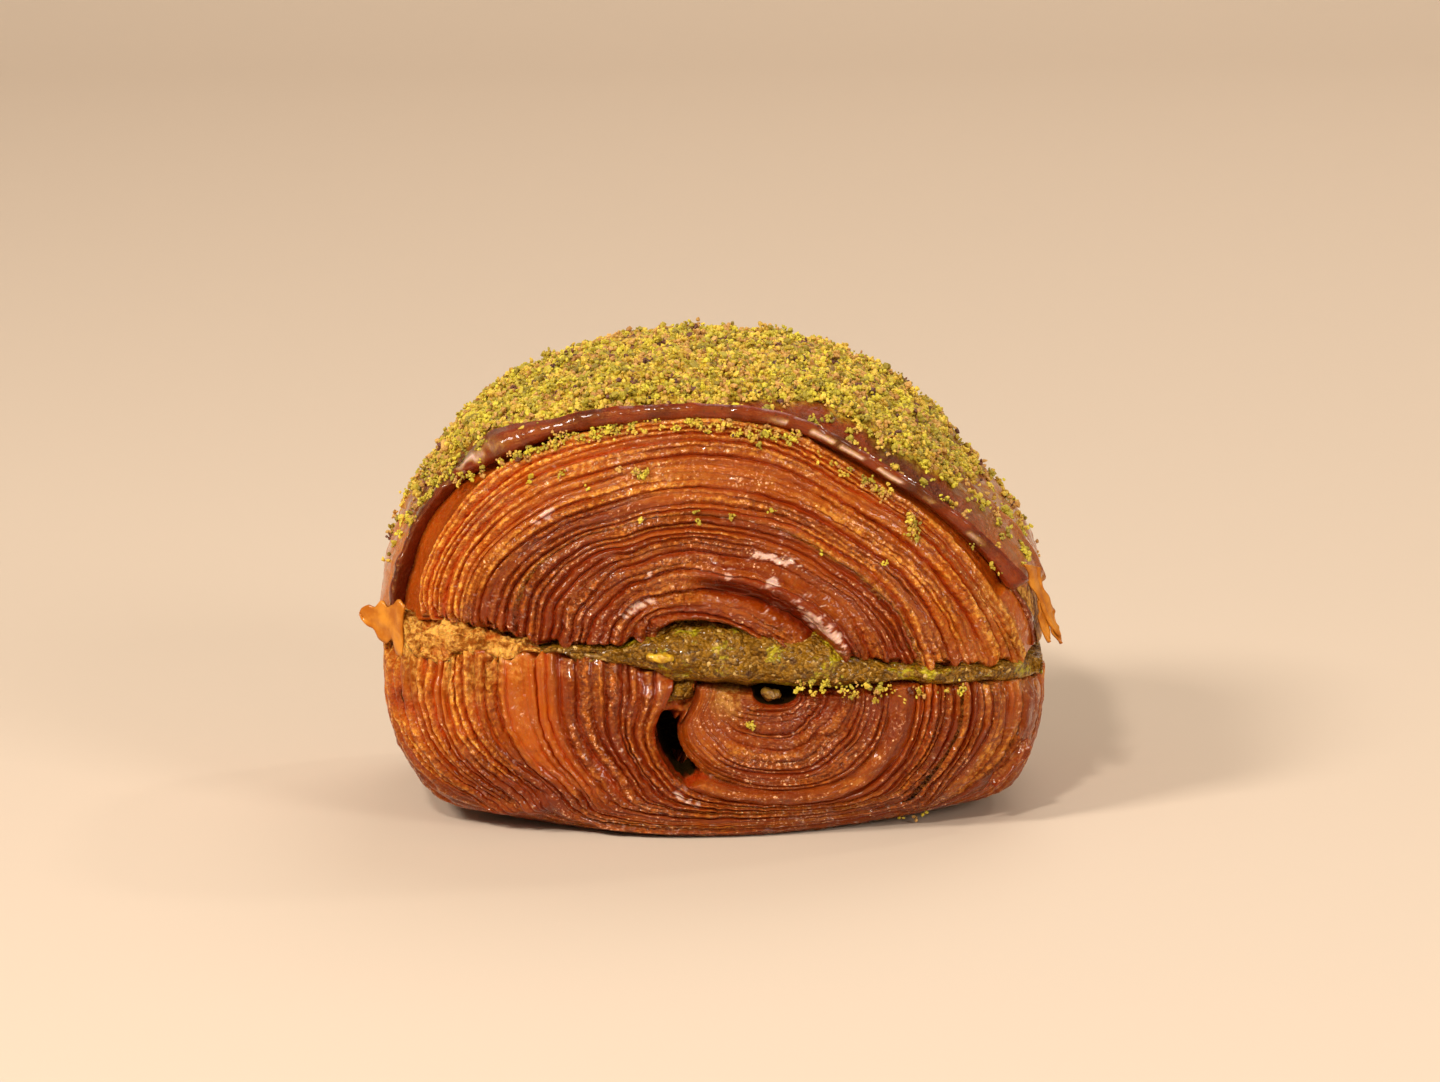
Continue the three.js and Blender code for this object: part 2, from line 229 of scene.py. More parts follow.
def lip_line(s):
    """The front edge of the skin, further out than the last arch, most of all on the left."""
    return bow(s, (-45.4, 28.6), (-2, 61.3), (47.2, 25.2), 2.25, 1.64)


def coil_line(t, s):
    """The rolled-in start of the dough: t is 0 at its heart and 1 at its outside."""
    left, right = (mix(5.9, -5.6, t**0.7), mix(21.0, 22.3, t)), (mix(12.4, 25.4, t), mix(20.9, 21.6, t))
    x, z = bow(s, left, (mix(9, 10.5, t), mix(19.2, 7.1, t)), right, mix(2.2, 2.9, t), 2.3)
    return x + 3.3 * t * hump(s, 0, 0.07), z


def cup_line(t, s):
    """The turns round the coil: t is 0 beside it and 1 at the tray."""
    left, right = -9.3 - 36.7 * t, 29.2 + 18.2 * t
    ragged = 1.3 * noise(17, t * 23) - 1.0
    left_foot = (left, cut_height(left) - 1.2 + 1.5 * hump(left, *PINCH) + ragged)
    right_foot = (right, cut_height(right) - 1.5 + 0.5 * noise(18, t * 23))
    middle = (mix(10, 5, t), mix(5.0, 0.15, t**1.3))
    x, z = bow(s, left_foot, middle, right_foot, 3.1, mix(2.4, 2.9, t))
    return x + 4.0 * (1 - t) ** 5 * hump(s, 0, 0.06), z


def wander(x, z, amount, seed):
    """The lines never run quite true: both numbers drift by slow noise."""
    far = smooth(np.abs(z - cut_height(x)), 0.5, 6)
    jag = 0.09 * rough(seed + 1, x / 1.1, z / 1.1, octaves=2)
    return (x + amount * far * noise(seed, x / 17, z / 17) + jag,
            z + amount * far * noise(seed, x / 17, z / 17, 5.5) + jag * far)


def cup_turn(t, s, seed):
    """The turns as they were baked: they wander, except along the tray."""
    x, z = cup_line(t, s)
    return wander(x, z, 0.7 * smooth(z, 2, 8), seed)


print("the outer arch's crest lies at", np.round(dome_line(np.ones(1), np.full(1, 0.5)), 1).ravel())

# %% [markdown]
# Layers as relief
#
# Each layer's baked edge is a rounded ridge, and the butter between two layers leaves a sharp groove. The
# ridge is a power of a parabola: round on top and steep at both sides. Some layers carry a finer crease,
# because a layer is itself a few leaves thick. Widths wander along each layer, and some layers nearly close
# up, as they do where the roll was pressed on the tray. The relief never gets deeper than its own layer is
# wide, so the layers fade where they crowd. A fine blistered noise lies over ridges that dried in the oven,
# while others stay smooth and glossy.

# %% Layer bands
ACROSS = np.array([0.0, 0.07, 0.18, 0.34, 0.5, 0.66, 0.82, 0.93])[:, None]
ROUNDNESS = 0.8


def wandering_widths(count, s, seed, unevenness=0.5):
    """A width for each layer at each s: its own share, wandering slowly and then faster."""
    k = np.arange(count)[:, None]
    own = 1 + unevenness * mix(0.45, 1.0, smooth(s, 0.2, 0.4)) * lattice(k, 0, 0, seed)
    slow, fast = 1 + 0.45 * noise(seed + 1, k * 3.7, s * 4), 1 + 0.1 * noise(seed + 2, k * 5.3, s * 16)
    return own * slow * fast


def band_rows(line, widths, s, seed, depth=0.46, most=0.95, grooves=1.0):
    """The rows of one family of layers: for every layer and every sample f across it, t runs from one
    edge to the next. The lift is amplitude * (0.4 - groove + proud - 0.35 * crease) + flaky. The groove is
    cleft * (1 - ridge), and the ridge is (4g(1-g))^n, where g is f pushed to one side."""
    def wave(number, k, step, rate):
        return noise(seed + number, k * step, s * rate)

    edges = np.concatenate([0 * widths[:1], np.cumsum(widths, 0)])
    edges = edges / edges[-1:]
    t = mix(edges[:-1, None], edges[1:, None], ACROSS)
    pitch = np.hypot(*(np.diff(side, axis=0) for side in line(edges, s)))[:, None]
    k = np.arange(len(widths) + 1)[:, None]
    weak = mix(0.7, 0.25, smooth(s, 0.24, 0.42))
    cleft = np.where(lattice(k, 0, 0, seed + 4) > -0.15, 0.9, weak) + 0.4 * wave(3, k, 2.9, 6)
    cleft = ((cleft + 0.3 * wave(10, k, 6.1, 21)) * grooves).clip(0.05, 1.15)
    layer = np.arange(len(widths))[:, None, None]
    leaf = layer + ACROSS
    leaning = ACROSS ** (2 ** (0.8 * wave(12, layer, 3.9, 5)))
    ridge = (4 * leaning * (1 - leaning)) ** ROUNDNESS
    groove = (1 - ridge) * mix(cleft[:-1, None], cleft[1:, None], ACROSS)
    amplitude = np.minimum(most, 1.6 * depth * pitch)
    proud = 0.5 * wave(5, layer, 0.7, 4) + 0.25 * wave(6, layer, 0.9, 13)
    shown = smooth(wave(13, layer, 5.9, 8), -0.1, 0.5) * smooth(pitch, 1.1, 1.8)
    crease = shown * hump(ACROSS - 0.5, 0.25 * wave(11, layer, 3.3, 9), 0.08)
    flaky = 0.16 * rough(seed + 16, leaf * 2.6, s * 46, octaves=2) * smooth(pitch, 0.5, 1.2)
    lift = amplitude * (0.4 - groove + proud) - 0.35 * amplitude * crease + flaky
    tone = 0.3 * lattice(layer, 0, 0, seed + 8) + 0.8 * wave(9, layer, 0.8, 6)
    tone = tone + 0.6 * (ACROSS - 0.5) * wave(14, layer, 5.7, 5)
    gloss = 0.45 + 0.3 * lattice(layer, 1, 0, seed + 8) + 1.1 * wave(15, leaf, 0.6, 7)
    rows = dict(t=t, lift=lift, groove=(groove + 0.5 * crease).clip(0, 1.2), tone=tone, leaf=leaf,
                gloss=gloss.clip(0, 1))
    return {name: np.broadcast_to(row, t.shape).reshape(-1, len(s)) for name, row in rows.items()}


def blisters(x, z, seed, gloss, groove):
    """Fine bumps, about half a millimetre across, mostly standing up, on the dry ridges."""
    bumps = 0.2 * np.abs(rough(seed, x / 0.62, z / 0.62, octaves=2))
    bumps = bumps + 0.12 * rough(seed + 5, x / 1.7, z / 1.7, octaves=2)
    return bumps * (1 - 0.7 * gloss) * (1 - 0.8 * groove.clip(0, 1))


# %% Painted highlights
# Each stroke: the x and z of its middle, its half length and half width in mm, and its tilt.
HIGHLIGHT_STROKES = [
    (-22.8, 47.2, 2.2, 0.6, 0.65), (-8.5, 38.3, 0.6, 0.6, 0.0), (9.0, 40.6, 3.0, 0.9, -0.15),
    (2.8, 38.4, 0.6, 0.5, 0.0), (8.9, 37.6, 1.6, 0.6, -0.2), (15.8, 31.2, 4.4, 1.6, -0.75),
    (-3.2, 5.6, 3.2, 0.6, -0.55), (-10, 34, 3.0, 0.7, 0.5), (-5, 30.5, 2.2, 0.5, 0.3),
]


def painted_highlights(x, z, seed):
    """1 along short strokes with ragged edges: painted highlights of sheen on the syrup, a few on pale flaky
    patches.
    """
    total = 0.0
    for middle_x, middle_z, length, width, tilt in HIGHLIGHT_STROKES:
        dx, dz = x - middle_x, z - middle_z
        along, across = dx * math.cos(tilt) + dz * math.sin(tilt), dz * math.cos(tilt) - dx * math.sin(tilt)
        total = total + np.exp(-((along / length) ** 2) - (across / width) ** 2)
    return smooth(total + 0.5 * rough(seed, x / 0.9, z / 0.5), 0.5, 0.8)


# %% [markdown]
# From grids to meshes
#
# The dough is made in closed pieces: the two ends with their layers, and the crust that runs between them.
# Each piece is a grid of rows, from the heart of an end outwards or from the front to the back, and a
# shallow cone inside the pastry that joins the rim of the grid to one point. Values that the material
# needs, such as how deep in a groove a point lies, ride on the points as attributes.

# %% Mesh helpers
VALUES = ("groove", "tone", "bake", "skin", "pale", "gloss", "dust", "leaf")


def make_piece(name, points, faces, values, material, smooth_faces=True):
    """A mesh object in metres from points in mm and rows of three or four corner numbers."""
    mesh = bpy.data.meshes.new(name)
    mesh.vertices.add(len(points))
    mesh.vertices.foreach_set("co", (points * MM).astype(np.float32).ravel())
    mesh.loops.add(faces.size)
    mesh.loops.foreach_set("vertex_index", faces.astype(np.int32).ravel())
    mesh.polygons.add(len(faces))
    corners = faces.shape[1]
    mesh.polygons.foreach_set("loop_start", np.arange(0, faces.size, corners, dtype=np.int32))
    mesh.update(calc_edges=True)
    for label, array in values.items():
        kind, slot = ("FLOAT", "value") if array.ndim == 1 else ("FLOAT_VECTOR", "vector")
        data = mesh.attributes.new(label, kind, "POINT").data
        data.foreach_set(slot, array.astype(np.float32).ravel())
    mesh.polygons.foreach_set("use_smooth", np.full(len(faces), smooth_faces))
    mesh.validate()
    mesh.materials.append(material)
    piece = bpy.data.objects.new(name, mesh)
    bpy.context.collection.objects.link(piece)
    print(f"{name}: {(corners - 2) * len(faces)} triangles")
    return piece


def grid_faces(rows, columns, closed=False):
    """Quads between neighbouring rows and columns; closed joins the last column to the first."""
    i, j = np.meshgrid(np.arange(rows - 1), np.arange(columns if closed else columns - 1), indexing="ij")
    a, b = i * columns + j, i * columns + (j + 1) % columns
    return np.stack([a, b, b + columns, a + columns], -1).reshape(-1, 4)


def split(quads):
    """Each quad as two triangles."""
    return np.concatenate([quads[:, [0, 1, 2]], quads[:, [0, 2, 3]]])


def values_for(shape, **given):
    """Every value of the crust's material on a grid: zero where it isn't given."""
    return {name: np.broadcast_to(given.get(name, 0.0), shape).astype(float) for name in VALUES}


def in_line(values, more=()):
    """A grid's values as one row of points, with some of them again for the points that follow it."""
    values = {name: v.reshape(-1, *v.shape[2:]) for name, v in values.items()}
    return {name: np.concatenate([v, v[list(more)]]) for name, v in values.items()}


def closed_grid(name, block, tip, outwards):
    """Rows by columns of points, and a fan of triangles from their rim to the tip. The crust's own
    coordinates are mm along each row and leaves across, stretched so that its noise turns to streaks."""
    points, values = block[0], dict(block[1])
    rows, columns = points.shape[:2]
    along = np.cumsum(np.linalg.norm(np.diff(points, axis=1, prepend=points[:, :1]), axis=-1), axis=1)
    values["grain"] = np.stack([along * 0.16, values.pop("leaf") * 3.3, along * 0], -1)
    index = np.arange(rows * columns).reshape(rows, columns)
    rim = np.concatenate([index[:, 0], index[-1, 1:], index[-2::-1, -1], index[0, -2:0:-1]])
    fan = np.stack([rim, np.roll(rim, -1), np.full_like(rim, rows * columns)], -1)
    corners = np.concatenate([points.reshape(-1, 3), [tip]])
    corners[:, 2] = np.maximum(corners[:, 2], 0.02)
    faces = np.concatenate([split(grid_faces(rows, columns)), fan])
    return make_piece(name, corners, faces if outwards else faces[:, ::-1], in_line(values, [0]), CRUST)


def parted(names, block, row, tip, outwards):
    """A block as two pieces, which share one of its rows, so that neither mesh grows too large."""
    points, values = block
    parts = (slice(0, row + 1), slice(row, None))
    return [closed_grid(name, (points[part], {n: v[part] for n, v in values.items()}), tip, outwards)
            for name, part in zip(names, parts)]


def join_rows(*blocks):
    """Blocks of rows one after another, as points and values."""
    return (np.concatenate([block[0] for block in blocks]),
            {n: np.concatenate([block[1][n] for block in blocks]) for n in VALUES})


def backwards(block):
    """A front end's rows as the back end's: mirrored in y and in the reverse order."""
    points, values = block
    return (points * [1, -1, 1])[::-1], {n: v[::-1] for n, v in values.items()}


print("mesh helpers ready")

# %% [markdown]
# Shader sums
#
# Materials are graphs of nodes. Writing the graph as sums and products keeps it readable, so a small class
# wraps a node's output and adds the Math node that each operator stands for.


# %% A socket that can be added and multiplied
class Value:
    """A number that a node puts out."""

    def __init__(self, recipe, socket):
        self.recipe, self.socket = recipe, socket

    def math(self, operation, other):
        return self.recipe.numbered("ShaderNodeMath", 0, {"operation": operation}, {0: self, 1: other})

    def __add__(self, other):
        return self.math("ADD", other)

    def __sub__(self, other):
        return self.math("SUBTRACT", other)

    def __rsub__(self, other):
        return (self * -1) + other

    def __mul__(self, other):
        return self.math("MULTIPLY", other)

    __radd__, __rmul__ = __add__, __mul__

    def between(self, low, high):
        """0 below low, 1 above high."""
        return self.recipe.node("ShaderNodeMapRange", "Result", {"interpolation_type": "SMOOTHSTEP"},
                                value=self, from_min=low, from_max=high)


class Recipe:
    """A material and the nodes in it."""

    def __init__(self, name):
        self.material = bpy.data.materials.new(name)
        self.material.use_nodes = True
        self.tree = self.material.node_tree
        self.tree.nodes.clear()

    def numbered(self, kind, output, settings, sockets):
        """One output of a new node: its settings first, then the values or links of its sockets."""
        made = self.tree.nodes.new(kind)
        for name, value in settings.items():
            setattr(made, name, value)
        for place, value in sockets.items():
            if isinstance(value, Value):
                self.tree.links.new(value.socket, made.inputs[place])
            else:
                made.inputs[place].default_value = value
        return Value(self, made.outputs[output])

    def node(self, kind, output, settings=(), **sockets):
        """The same by the sockets' own names, written with underscores."""
        named = {key.replace("_", " ").title().replace("Ior", "IOR"): v for key, v in sockets.items()}
        return self.numbered(kind, output, dict(settings), named)

    def attribute(self, name, output="Fac"):
        """A number, or as Vector a vector, that rides on the points."""
        return self.node("ShaderNodeAttribute", output, {"attribute_name": name})

    def place(self):
        """The object's own coordinates in metres."""
        return self.node("ShaderNodeTexCoord", "Object")

    def grain(self, place, scale, detail=2.0, roughness=0.5):
        """Noise between 0 and 1 at so many cells to a unit of the place."""
        return self.node("ShaderNodeTexNoise", "Fac", vector=place, scale=scale, detail=detail,
                         roughness=roughness)

    def cells(self, place, scale, output="Distance"):
        """The distance to the nearest of scattered points, or as Color that point's chance number."""
        return self.node("ShaderNodeTexVoronoi", output, vector=place, scale=scale)

    def blend(self, share, first, second):
        """Two colours, by a share. Each is a value or three numbers as a screen shows them."""
        first, second = (colour(*c) if isinstance(c, tuple) else c for c in (first, second))
        return self.numbered("ShaderNodeMix", 2, {"data_type": "RGBA"}, {0: share, 6: first, 7: second})

    def bump(self, height, distance, strength=1.0):
        """Height in units of the distance, which is in metres."""
        return self.node("ShaderNodeBump", "Normal", height=height, distance=distance, strength=strength)

    def finish(self, **sockets):
        """The surface itself."""
        method = {"subsurface_method": "RANDOM_WALK"}
        shader = self.node("ShaderNodeBsdfPrincipled", "BSDF", method, **sockets)
        out = self.tree.nodes.new("ShaderNodeOutputMaterial")
        self.tree.links.new(shader.socket, out.inputs["Surface"])
        return self.material


def colour(red, green, blue):
    """A colour as a screen shows it, 0 to 255, made linear."""
    def linear(v):
        return v / 12.92 if v <= 0.04045 else ((v + 0.055) / 1.055) ** 2.4
    return (*(linear(v / 255) for v in (red, green, blue)), 1.0)


print("shader helpers ready")

# %% [markdown]
# Crust
#
# Baked dough runs from gold where it was sheltered to a deep red brown where it met the oven. The grooves
# are painted a darker orange red, painted shade with a painted orange glow of light through thin leaves,
# and the deepest hollows are painted near black as painted shade. Syrup brushed on at the end lies over all
# of it as a clear coat. The colour is mixed from the attributes of the surface. Glints come from a fine bump:
# streaks that follow the leaves, and blisters on the dry dough. More glints, sheen and strokes of highlight
# are painted into the colour as painted highlights, and ridge crests are painted lighter, partly for their
# crisp edges and partly as painted highlight. A little light is let in under the surface.


# %% The crust's material
def crust_material():
    """Layers, skin and torn crumb, each a mix of its own colours, under one coat of syrup."""
    r = Recipe("crust")
    groove, tone, bake, skin, pale, gloss, dust = (r.attribute(name) for name in VALUES[:-1])
    leafy, place = r.attribute("grain", "Vector"), r.place()
    streaks = r.grain(leafy, 1.0, 4.0, 0.62)
    blotches = r.grain(place, 170.0, 3.0)
    fine = r.grain(place, 1300.0, 3.0, 0.6)
    dough = bake + tone * 0.35 + (blotches - 0.5) * 0.55 + (streaks - 0.5) * 0.25
    gold = r.blend(gloss, (172, 80, 12), (164, 72, 6))
    brown = r.blend(gloss, (102, 32, 4), (108, 26, 0))
    ridge = r.blend(dough.between(0.0, 1.0), gold, brown)
    # Ridge crests are painted lighter: partly their crisp edges, partly painted highlight.
    crest = (1 - groove + (fine - 0.5) * 0.7).between(0.86, 1.06)
    tips_and_highlight = (fine.between(0.5, 0.7) * 0.3 + crest * 0.6) * (1 - gloss * 0.9)
    ridge = r.blend(tips_and_highlight * 0.9, ridge, r.blend(dough.between(0.1, 1.0), (244, 176, 70), (186, 94, 26)))
    # The groove colour is painted shade, darker and redder than the ridges, with a painted orange glow of
    # light through thin leaves.
    deep = r.blend(bake.between(0.0, 0.9), (182, 64, 10), (132, 36, 4))
    layers = r.blend(groove.between(0.15, 0.8), ridge, deep)
    # Sheen streaks, glint dots and glints are painted highlights.
    sheen = r.grain(leafy, 0.55, 2.0, 0.5).between(0.68, 0.74) * bake.between(0.3, 0.8)
    glint_dots = r.cells(place, 1250.0).between(0.24, 0.12) * (crest + 0.15) * streaks.between(0.4, 0.6)
    glints = r.grain(place, 2400.0, 2.0, 0.6).between(0.55, 0.67) * (crest + 0.1)
    glints = glints * blotches.between(0.44, 0.6)
    # On the layers the dust-and-highlight colour is painted highlight, and near black in the deepest hollows
    # is painted shade; on the skin the same value is nut dust, mixed in below.
    for share, paint in ((sheen * 0.4, (230, 152, 92)), (glint_dots * 0.8, (255, 206, 150)),
                         (glints * 0.75, (250, 188, 142)), (dust, (226, 186, 164)),
                         (groove.between(1.2, 1.5), (6, 2, 0))):
        layers = r.blend(share, layers, paint)
    chestnut = r.blend(blotches.between(0.35, 0.7), (120, 38, 12), (72, 16, 6))
    chestnut = r.blend(bake.between(0.0, 1.0), (186, 104, 52), chestnut)
    chestnut = r.blend(r.cells(place, 900.0).between(0.22, 0.06) * 0.7, chestnut, (48, 14, 4))
    sugar = r.blend(fine.between(0.35, 0.65), (110, 74, 14), (206, 172, 50))
    crumb = r.blend((fine * 0.6 + blotches * 0.4).between(0.42, 0.6), (126, 62, 8), (218, 160, 72))
    body = r.blend(skin, layers, r.blend(dust, chestnut, sugar))
    body = r.blend(pale, body, crumb)
    height = r.grain(place, 950.0, 2.0, 0.5) * (1.0 - gloss * 0.8) + streaks * 0.25
    syrup = r.grain(place, 330.0, 2.0, 0.5)
    wet = (0.46 + gloss * 0.2 - pale * 0.7 - dust * skin + (syrup - 0.5) * 2.0).between(0.0, 0.9)
    hollow = groove.between(1.2, 1.45)
    wet = wet * (1 - hollow)
    return r.finish(
        base_color=body,
        roughness=0.5 - wet * 0.15 + hollow * 0.5,
        specular_tint=(1.0, 0.5, 0.1, 1.0),
        coat_weight=wet,
        coat_roughness=0.07,
        coat_ior=1.35,
        subsurface_weight=0.35,
        subsurface_radius=(1.0, 0.32, 0.08),
        subsurface_scale=0.0016,
        normal=r.bump(height, 0.0009),
    )


CRUST = crust_material()
print("crust ready, with", len(CRUST.node_tree.nodes), "nodes")

# %% [markdown]
# Dome
#
# The dome is twenty-eight arches of layers under a taut skin. The skin ends in a rolled lip that stands proud
# of the layers, with a sheltered step below it that is widest on the left. Low on the right half one fold
# of the layers curls out over a deep shadow. On the right the skin has torn off short of the cut, so its
# leaf ends in a ragged edge. Both ends of the roll are made alike from different seeds.

# %% The dome's ends
DOME_LAYERS = 28
LIP_DEPTH = 1.7
FOOT_ROUND = 0.016
FOLD_AT, SHADOW_AT, SHEET_AT = (0.25, 0.045), (0.175, 0.035), (0.37, 0.08)


def rounded_feet(s, seed, k):
    """0 along a layer and down to -1 at its ends, which round off at a ragged distance."""
    near = np.minimum(s, 1 - s) / FOOT_ROUND + 0.6 * noise(seed, k * 7.7, (s > 0.5) * 9.0)
    return -((1 - np.clip(near, 0, 1)) ** 2)


def torn(x, y, z):
    """1 where the skin is whole. On the right it ends on a ragged line a little above the cut."""
    ragged = 1.6 * rough(31, y / 5, z / 9) + 1.2 * noise(32, y / 1.7)
    return np.where(x > 0, smooth(z + ragged - 0.12 * (np.abs(y) - 24), 34.2, 35.4), 1.0)


def dome_layers(s, seed):
    """The rows of one end, heart first, as points in mm and the values of the material."""
    rows = band_rows(dome_line, wandering_widths(DOME_LAYERS, s, seed), s, seed)
    t, leaf = rows["t"], rows["leaf"]
    x, z = wander(*dome_line(t, s), 0.9, seed + 30)
    right_half = smooth(s, 0.46, 0.58) * smooth(1 - s, 0.0, 0.07)
    fold, under = hump(t, *FOLD_AT) * right_half, hump(t, *SHADOW_AT) * right_half
    sheet = hump(t, *SHEET_AT) * smooth(s, 0.54, 0.64) * (1 - smooth(s, 0.84, 0.95))
    groove = rows["groove"] * (1 - 0.7 * sheet)
    lift = rows["lift"] * (1 - 0.6 * sheet) + 1.2 * rounded_feet(s, seed, np.floor(leaf))
    lift = lift + 2.2 * fold - 2.8 * under + blisters(x, z, seed, rows["gloss"], groove)
    lift = lift + 0.35 * noise(seed + 61, x / 6, z / 6)
    point, out = face_point(x, z)
    torn_side = smooth(x, 36, 44) * smooth(42 - z, 0, 8)
    bake = 0.78 - 0.48 * t**1.6 - 0.25 * torn_side + 0.1 * fold
    bake = bake + smooth(-x, 6, 24) * (0.3 - 0.5 * smooth(t, 0.45, 0.9))
    gloss = rows["gloss"] + 0.5 * (0.55 - t) + fold + under + sheet
    # Painted: the shadow under the fold, whose groove value turns it near black, and strokes of painted
    # highlight in the dust-and-highlight value.
    return point + lift[..., None] * out, values_for(
        t.shape, groove=groove + 0.6 * under, tone=rows["tone"], bake=bake, gloss=gloss.clip(0, 1), leaf=leaf,
        pale=0.9 * torn_side * (0.6 + 0.5 * noise(seed, x, z)),
        dust=0.9 * painted_highlights(x, z, seed + 60) * (1 - 0.7 * groove).clip(0, 1))


def step_floor(s, seed):
    """The floor of the step under the lip, from the last arch (share 0) to the lip's line (share 1) and a
    little on, out of sight."""
    last_arch, edge = dome_line(np.ones(1), s), lip_line(s)
    share = np.array([0.0, 0.2, 0.5, 0.8, 1.02])[:, None]
    depth = np.array([-0.7, -1.3, -LIP_DEPTH, -LIP_DEPTH, -LIP_DEPTH])[:, None]
    x, z = (mix(last_arch[i], edge[i], share) for i in (0, 1))
    point, out = face_point(x, z)
    whole = torn(x, point[..., 1], z)
    wobble = 0.35 * noise(seed + 40, s * 14, share * 2) + 0.15 * noise(seed + 41, s * 60, share * 3)
    lift = depth * mix(0.35, 1.0, whole) + wobble * share
    # The step is painted part way to the groove colour: painted shade with a painted glow under the lip.
    return point + lift[..., None] * out, values_for(
        x.shape, groove=0.25 * whole + 0.1, bake=0.3 - 0.45 * (1 - whole), gloss=0.9,
        leaf=DOME_LAYERS + share, tone=0.5 * noise(seed + 45, s * 30, share * 3))


def dome_end(columns, seed):
    """The layers of one end, then the step."""
    s = np.linspace(0, 1, columns)
    return join_rows(dome_layers(s, seed), step_floor(s, seed))


dome_heart, dome_arches = parted(("dome_heart", "dome_arches"), dome_end(700, 100), 115, (0, -14, 29), True)
dome_back = closed_grid("dome_back", backwards(dome_end(300, 200)), (0, 14, 29), True)

# %% [markdown]
# Skin
#
# The skin is the outermost leaf, baked hardest and brushed with syrup. It runs from the front lip over the
# dome to the back one. Where the nuts lie thick their dust covers it, so the same field that scatters the
# nuts later on also colours and roughens the skin.

# %% The skin
SKIN_ROWS = 96
LIP_RISE = 1.65
LIP_ROLL = np.array([(-0.6, -3.0), (-0.2, -2.2), (0.4, -1.3), (0.9, -0.5), (1.1, 0.2), (1.0, 0.85),
                     (0.65, 1.35), (0.2, 1.6), (-0.3, 1.7)])
LIP_SHADE = np.array([1.0, 1.0, 0.9, 0.6, 0.3, 0.1, 0.0, 0.0, 0.0])[:, None]
HIGHLIGHT_ROW = 6.0


def coverage(point, s):
    """How thick the nuts lie, 0 to 1: from a few mm behind the lip, high up, and in drifts."""
    x, y, z = np.moveaxis(point, -1, 0)
    behind = face_depth(*lip_line(s)) - np.abs(y)
    drift = rough(70, x / 6, y / 6, z / 6)
    start = 0.6 + 1.6 * noise(71, s * 11) + 1.5 * noise(73, s * 37)
    start = start + 3.6 * smooth(s, 0.5, 0.6) + 3.2 * hump(s, 0.27, 0.09) + 1.5 * smooth(-x, 36, 44)
    dense = smooth(behind + 1.8 * drift, start - 1.8, start + 2.4)
    low_left, low_right = smooth(x, -45, -25), 7 * smooth(x, 22, 40) + 5 * smooth(-x, 38, 45)
    high = smooth(z + 4 * drift, mix(45, 38, low_left) + low_right, mix(58, 50, low_left) + low_right)
    bare_left = 0.65 * smooth(-x, 35, 41) * (1 - smooth(z, 47, 54))
    return dense * (0.1 * smooth(z + 3 * drift, 33, 42) + 0.9 * high) * (1 - bare_left)


def mounds(point, thick):
    """Little heaps of nuts, in mm, where they lie thick."""
    return 1.2 * thick * rough(74, *np.moveaxis(point / 1.6, -1, 0), octaves=2).clip(0, 1)


def lip_size(x):
    """The lip is thinner where it comes down on the left."""
    return 1 - 0.78 * smooth(-x, 26, 41)


def skin_point(s, share, relief=True):
    """The skin at s along the lip and share of the way from the front lip (0) to the back one (1): its
    point, the way it faces, whether it is whole and how thick the nuts lie. It hangs ragged on the far
    left, dips at the right shoulder and the crown, and a second leaf overlaps it on the right."""
    lip_x, lip_z = lip_line(s)
    point, out = side_point(lip_x, lip_z, -face_depth(lip_x, lip_z) * np.cos(np.pi * share))
    x, y, z = np.moveaxis(point, -1, 0)
    hanging = (1 - s / 0.045).clip(0, 1) * np.sin(np.pi * share) ** 0.5
    z -= hanging * (1.6 + 1.5 * rough(53, y / 6))
    whole, up = torn(x, y, z), z - WAIST
    edge = hump(np.minimum(share, 1 - share), 0, 0.035)
    shoulder = hump(np.arctan2(up, x), 0.47, 0.28) * (1 - (y / HALF_DEPTH) ** 2)
    crown = 1.2 + 1.0 * hump(x, 2, 13) - 1.3 * hump(x, -33, 10)
    swell = 0.45 * noise(50, x / 14, y / 12, z / 14) - 3.9 * shoulder - crown * smooth(up, 10, 32)
    swell = swell - 0.4 * smooth(-x, 36, 44) * (1 - smooth(up, 8, 18))
    leaf = 0.7 * smooth(y + 0.1 * (z - 40), -11.8, -11.2) * smooth(x, 30, 33) * smooth(56 - z, 0, 3)
    rise = LIP_RISE * (0.45 + 0.55 * edge) * lip_size(lip_x)
    lift = whole * (rise + swell * (1 - 0.4 * edge) + leaf) - 0.25 * (1 - whole)
    thick = coverage(point, s)
    if relief:
        wrinkle = 0.22 * rough(51, x / 2.6, y / 5, z / 2.6)
        bed = 0.3 * np.abs(rough(52, x / 0.9, y / 0.9, z / 0.9, octaves=2))
        lift = lift + whole * wrinkle + thick * bed + mounds(point, thick)
    return point + lift[..., None] * out, out, whole, thick


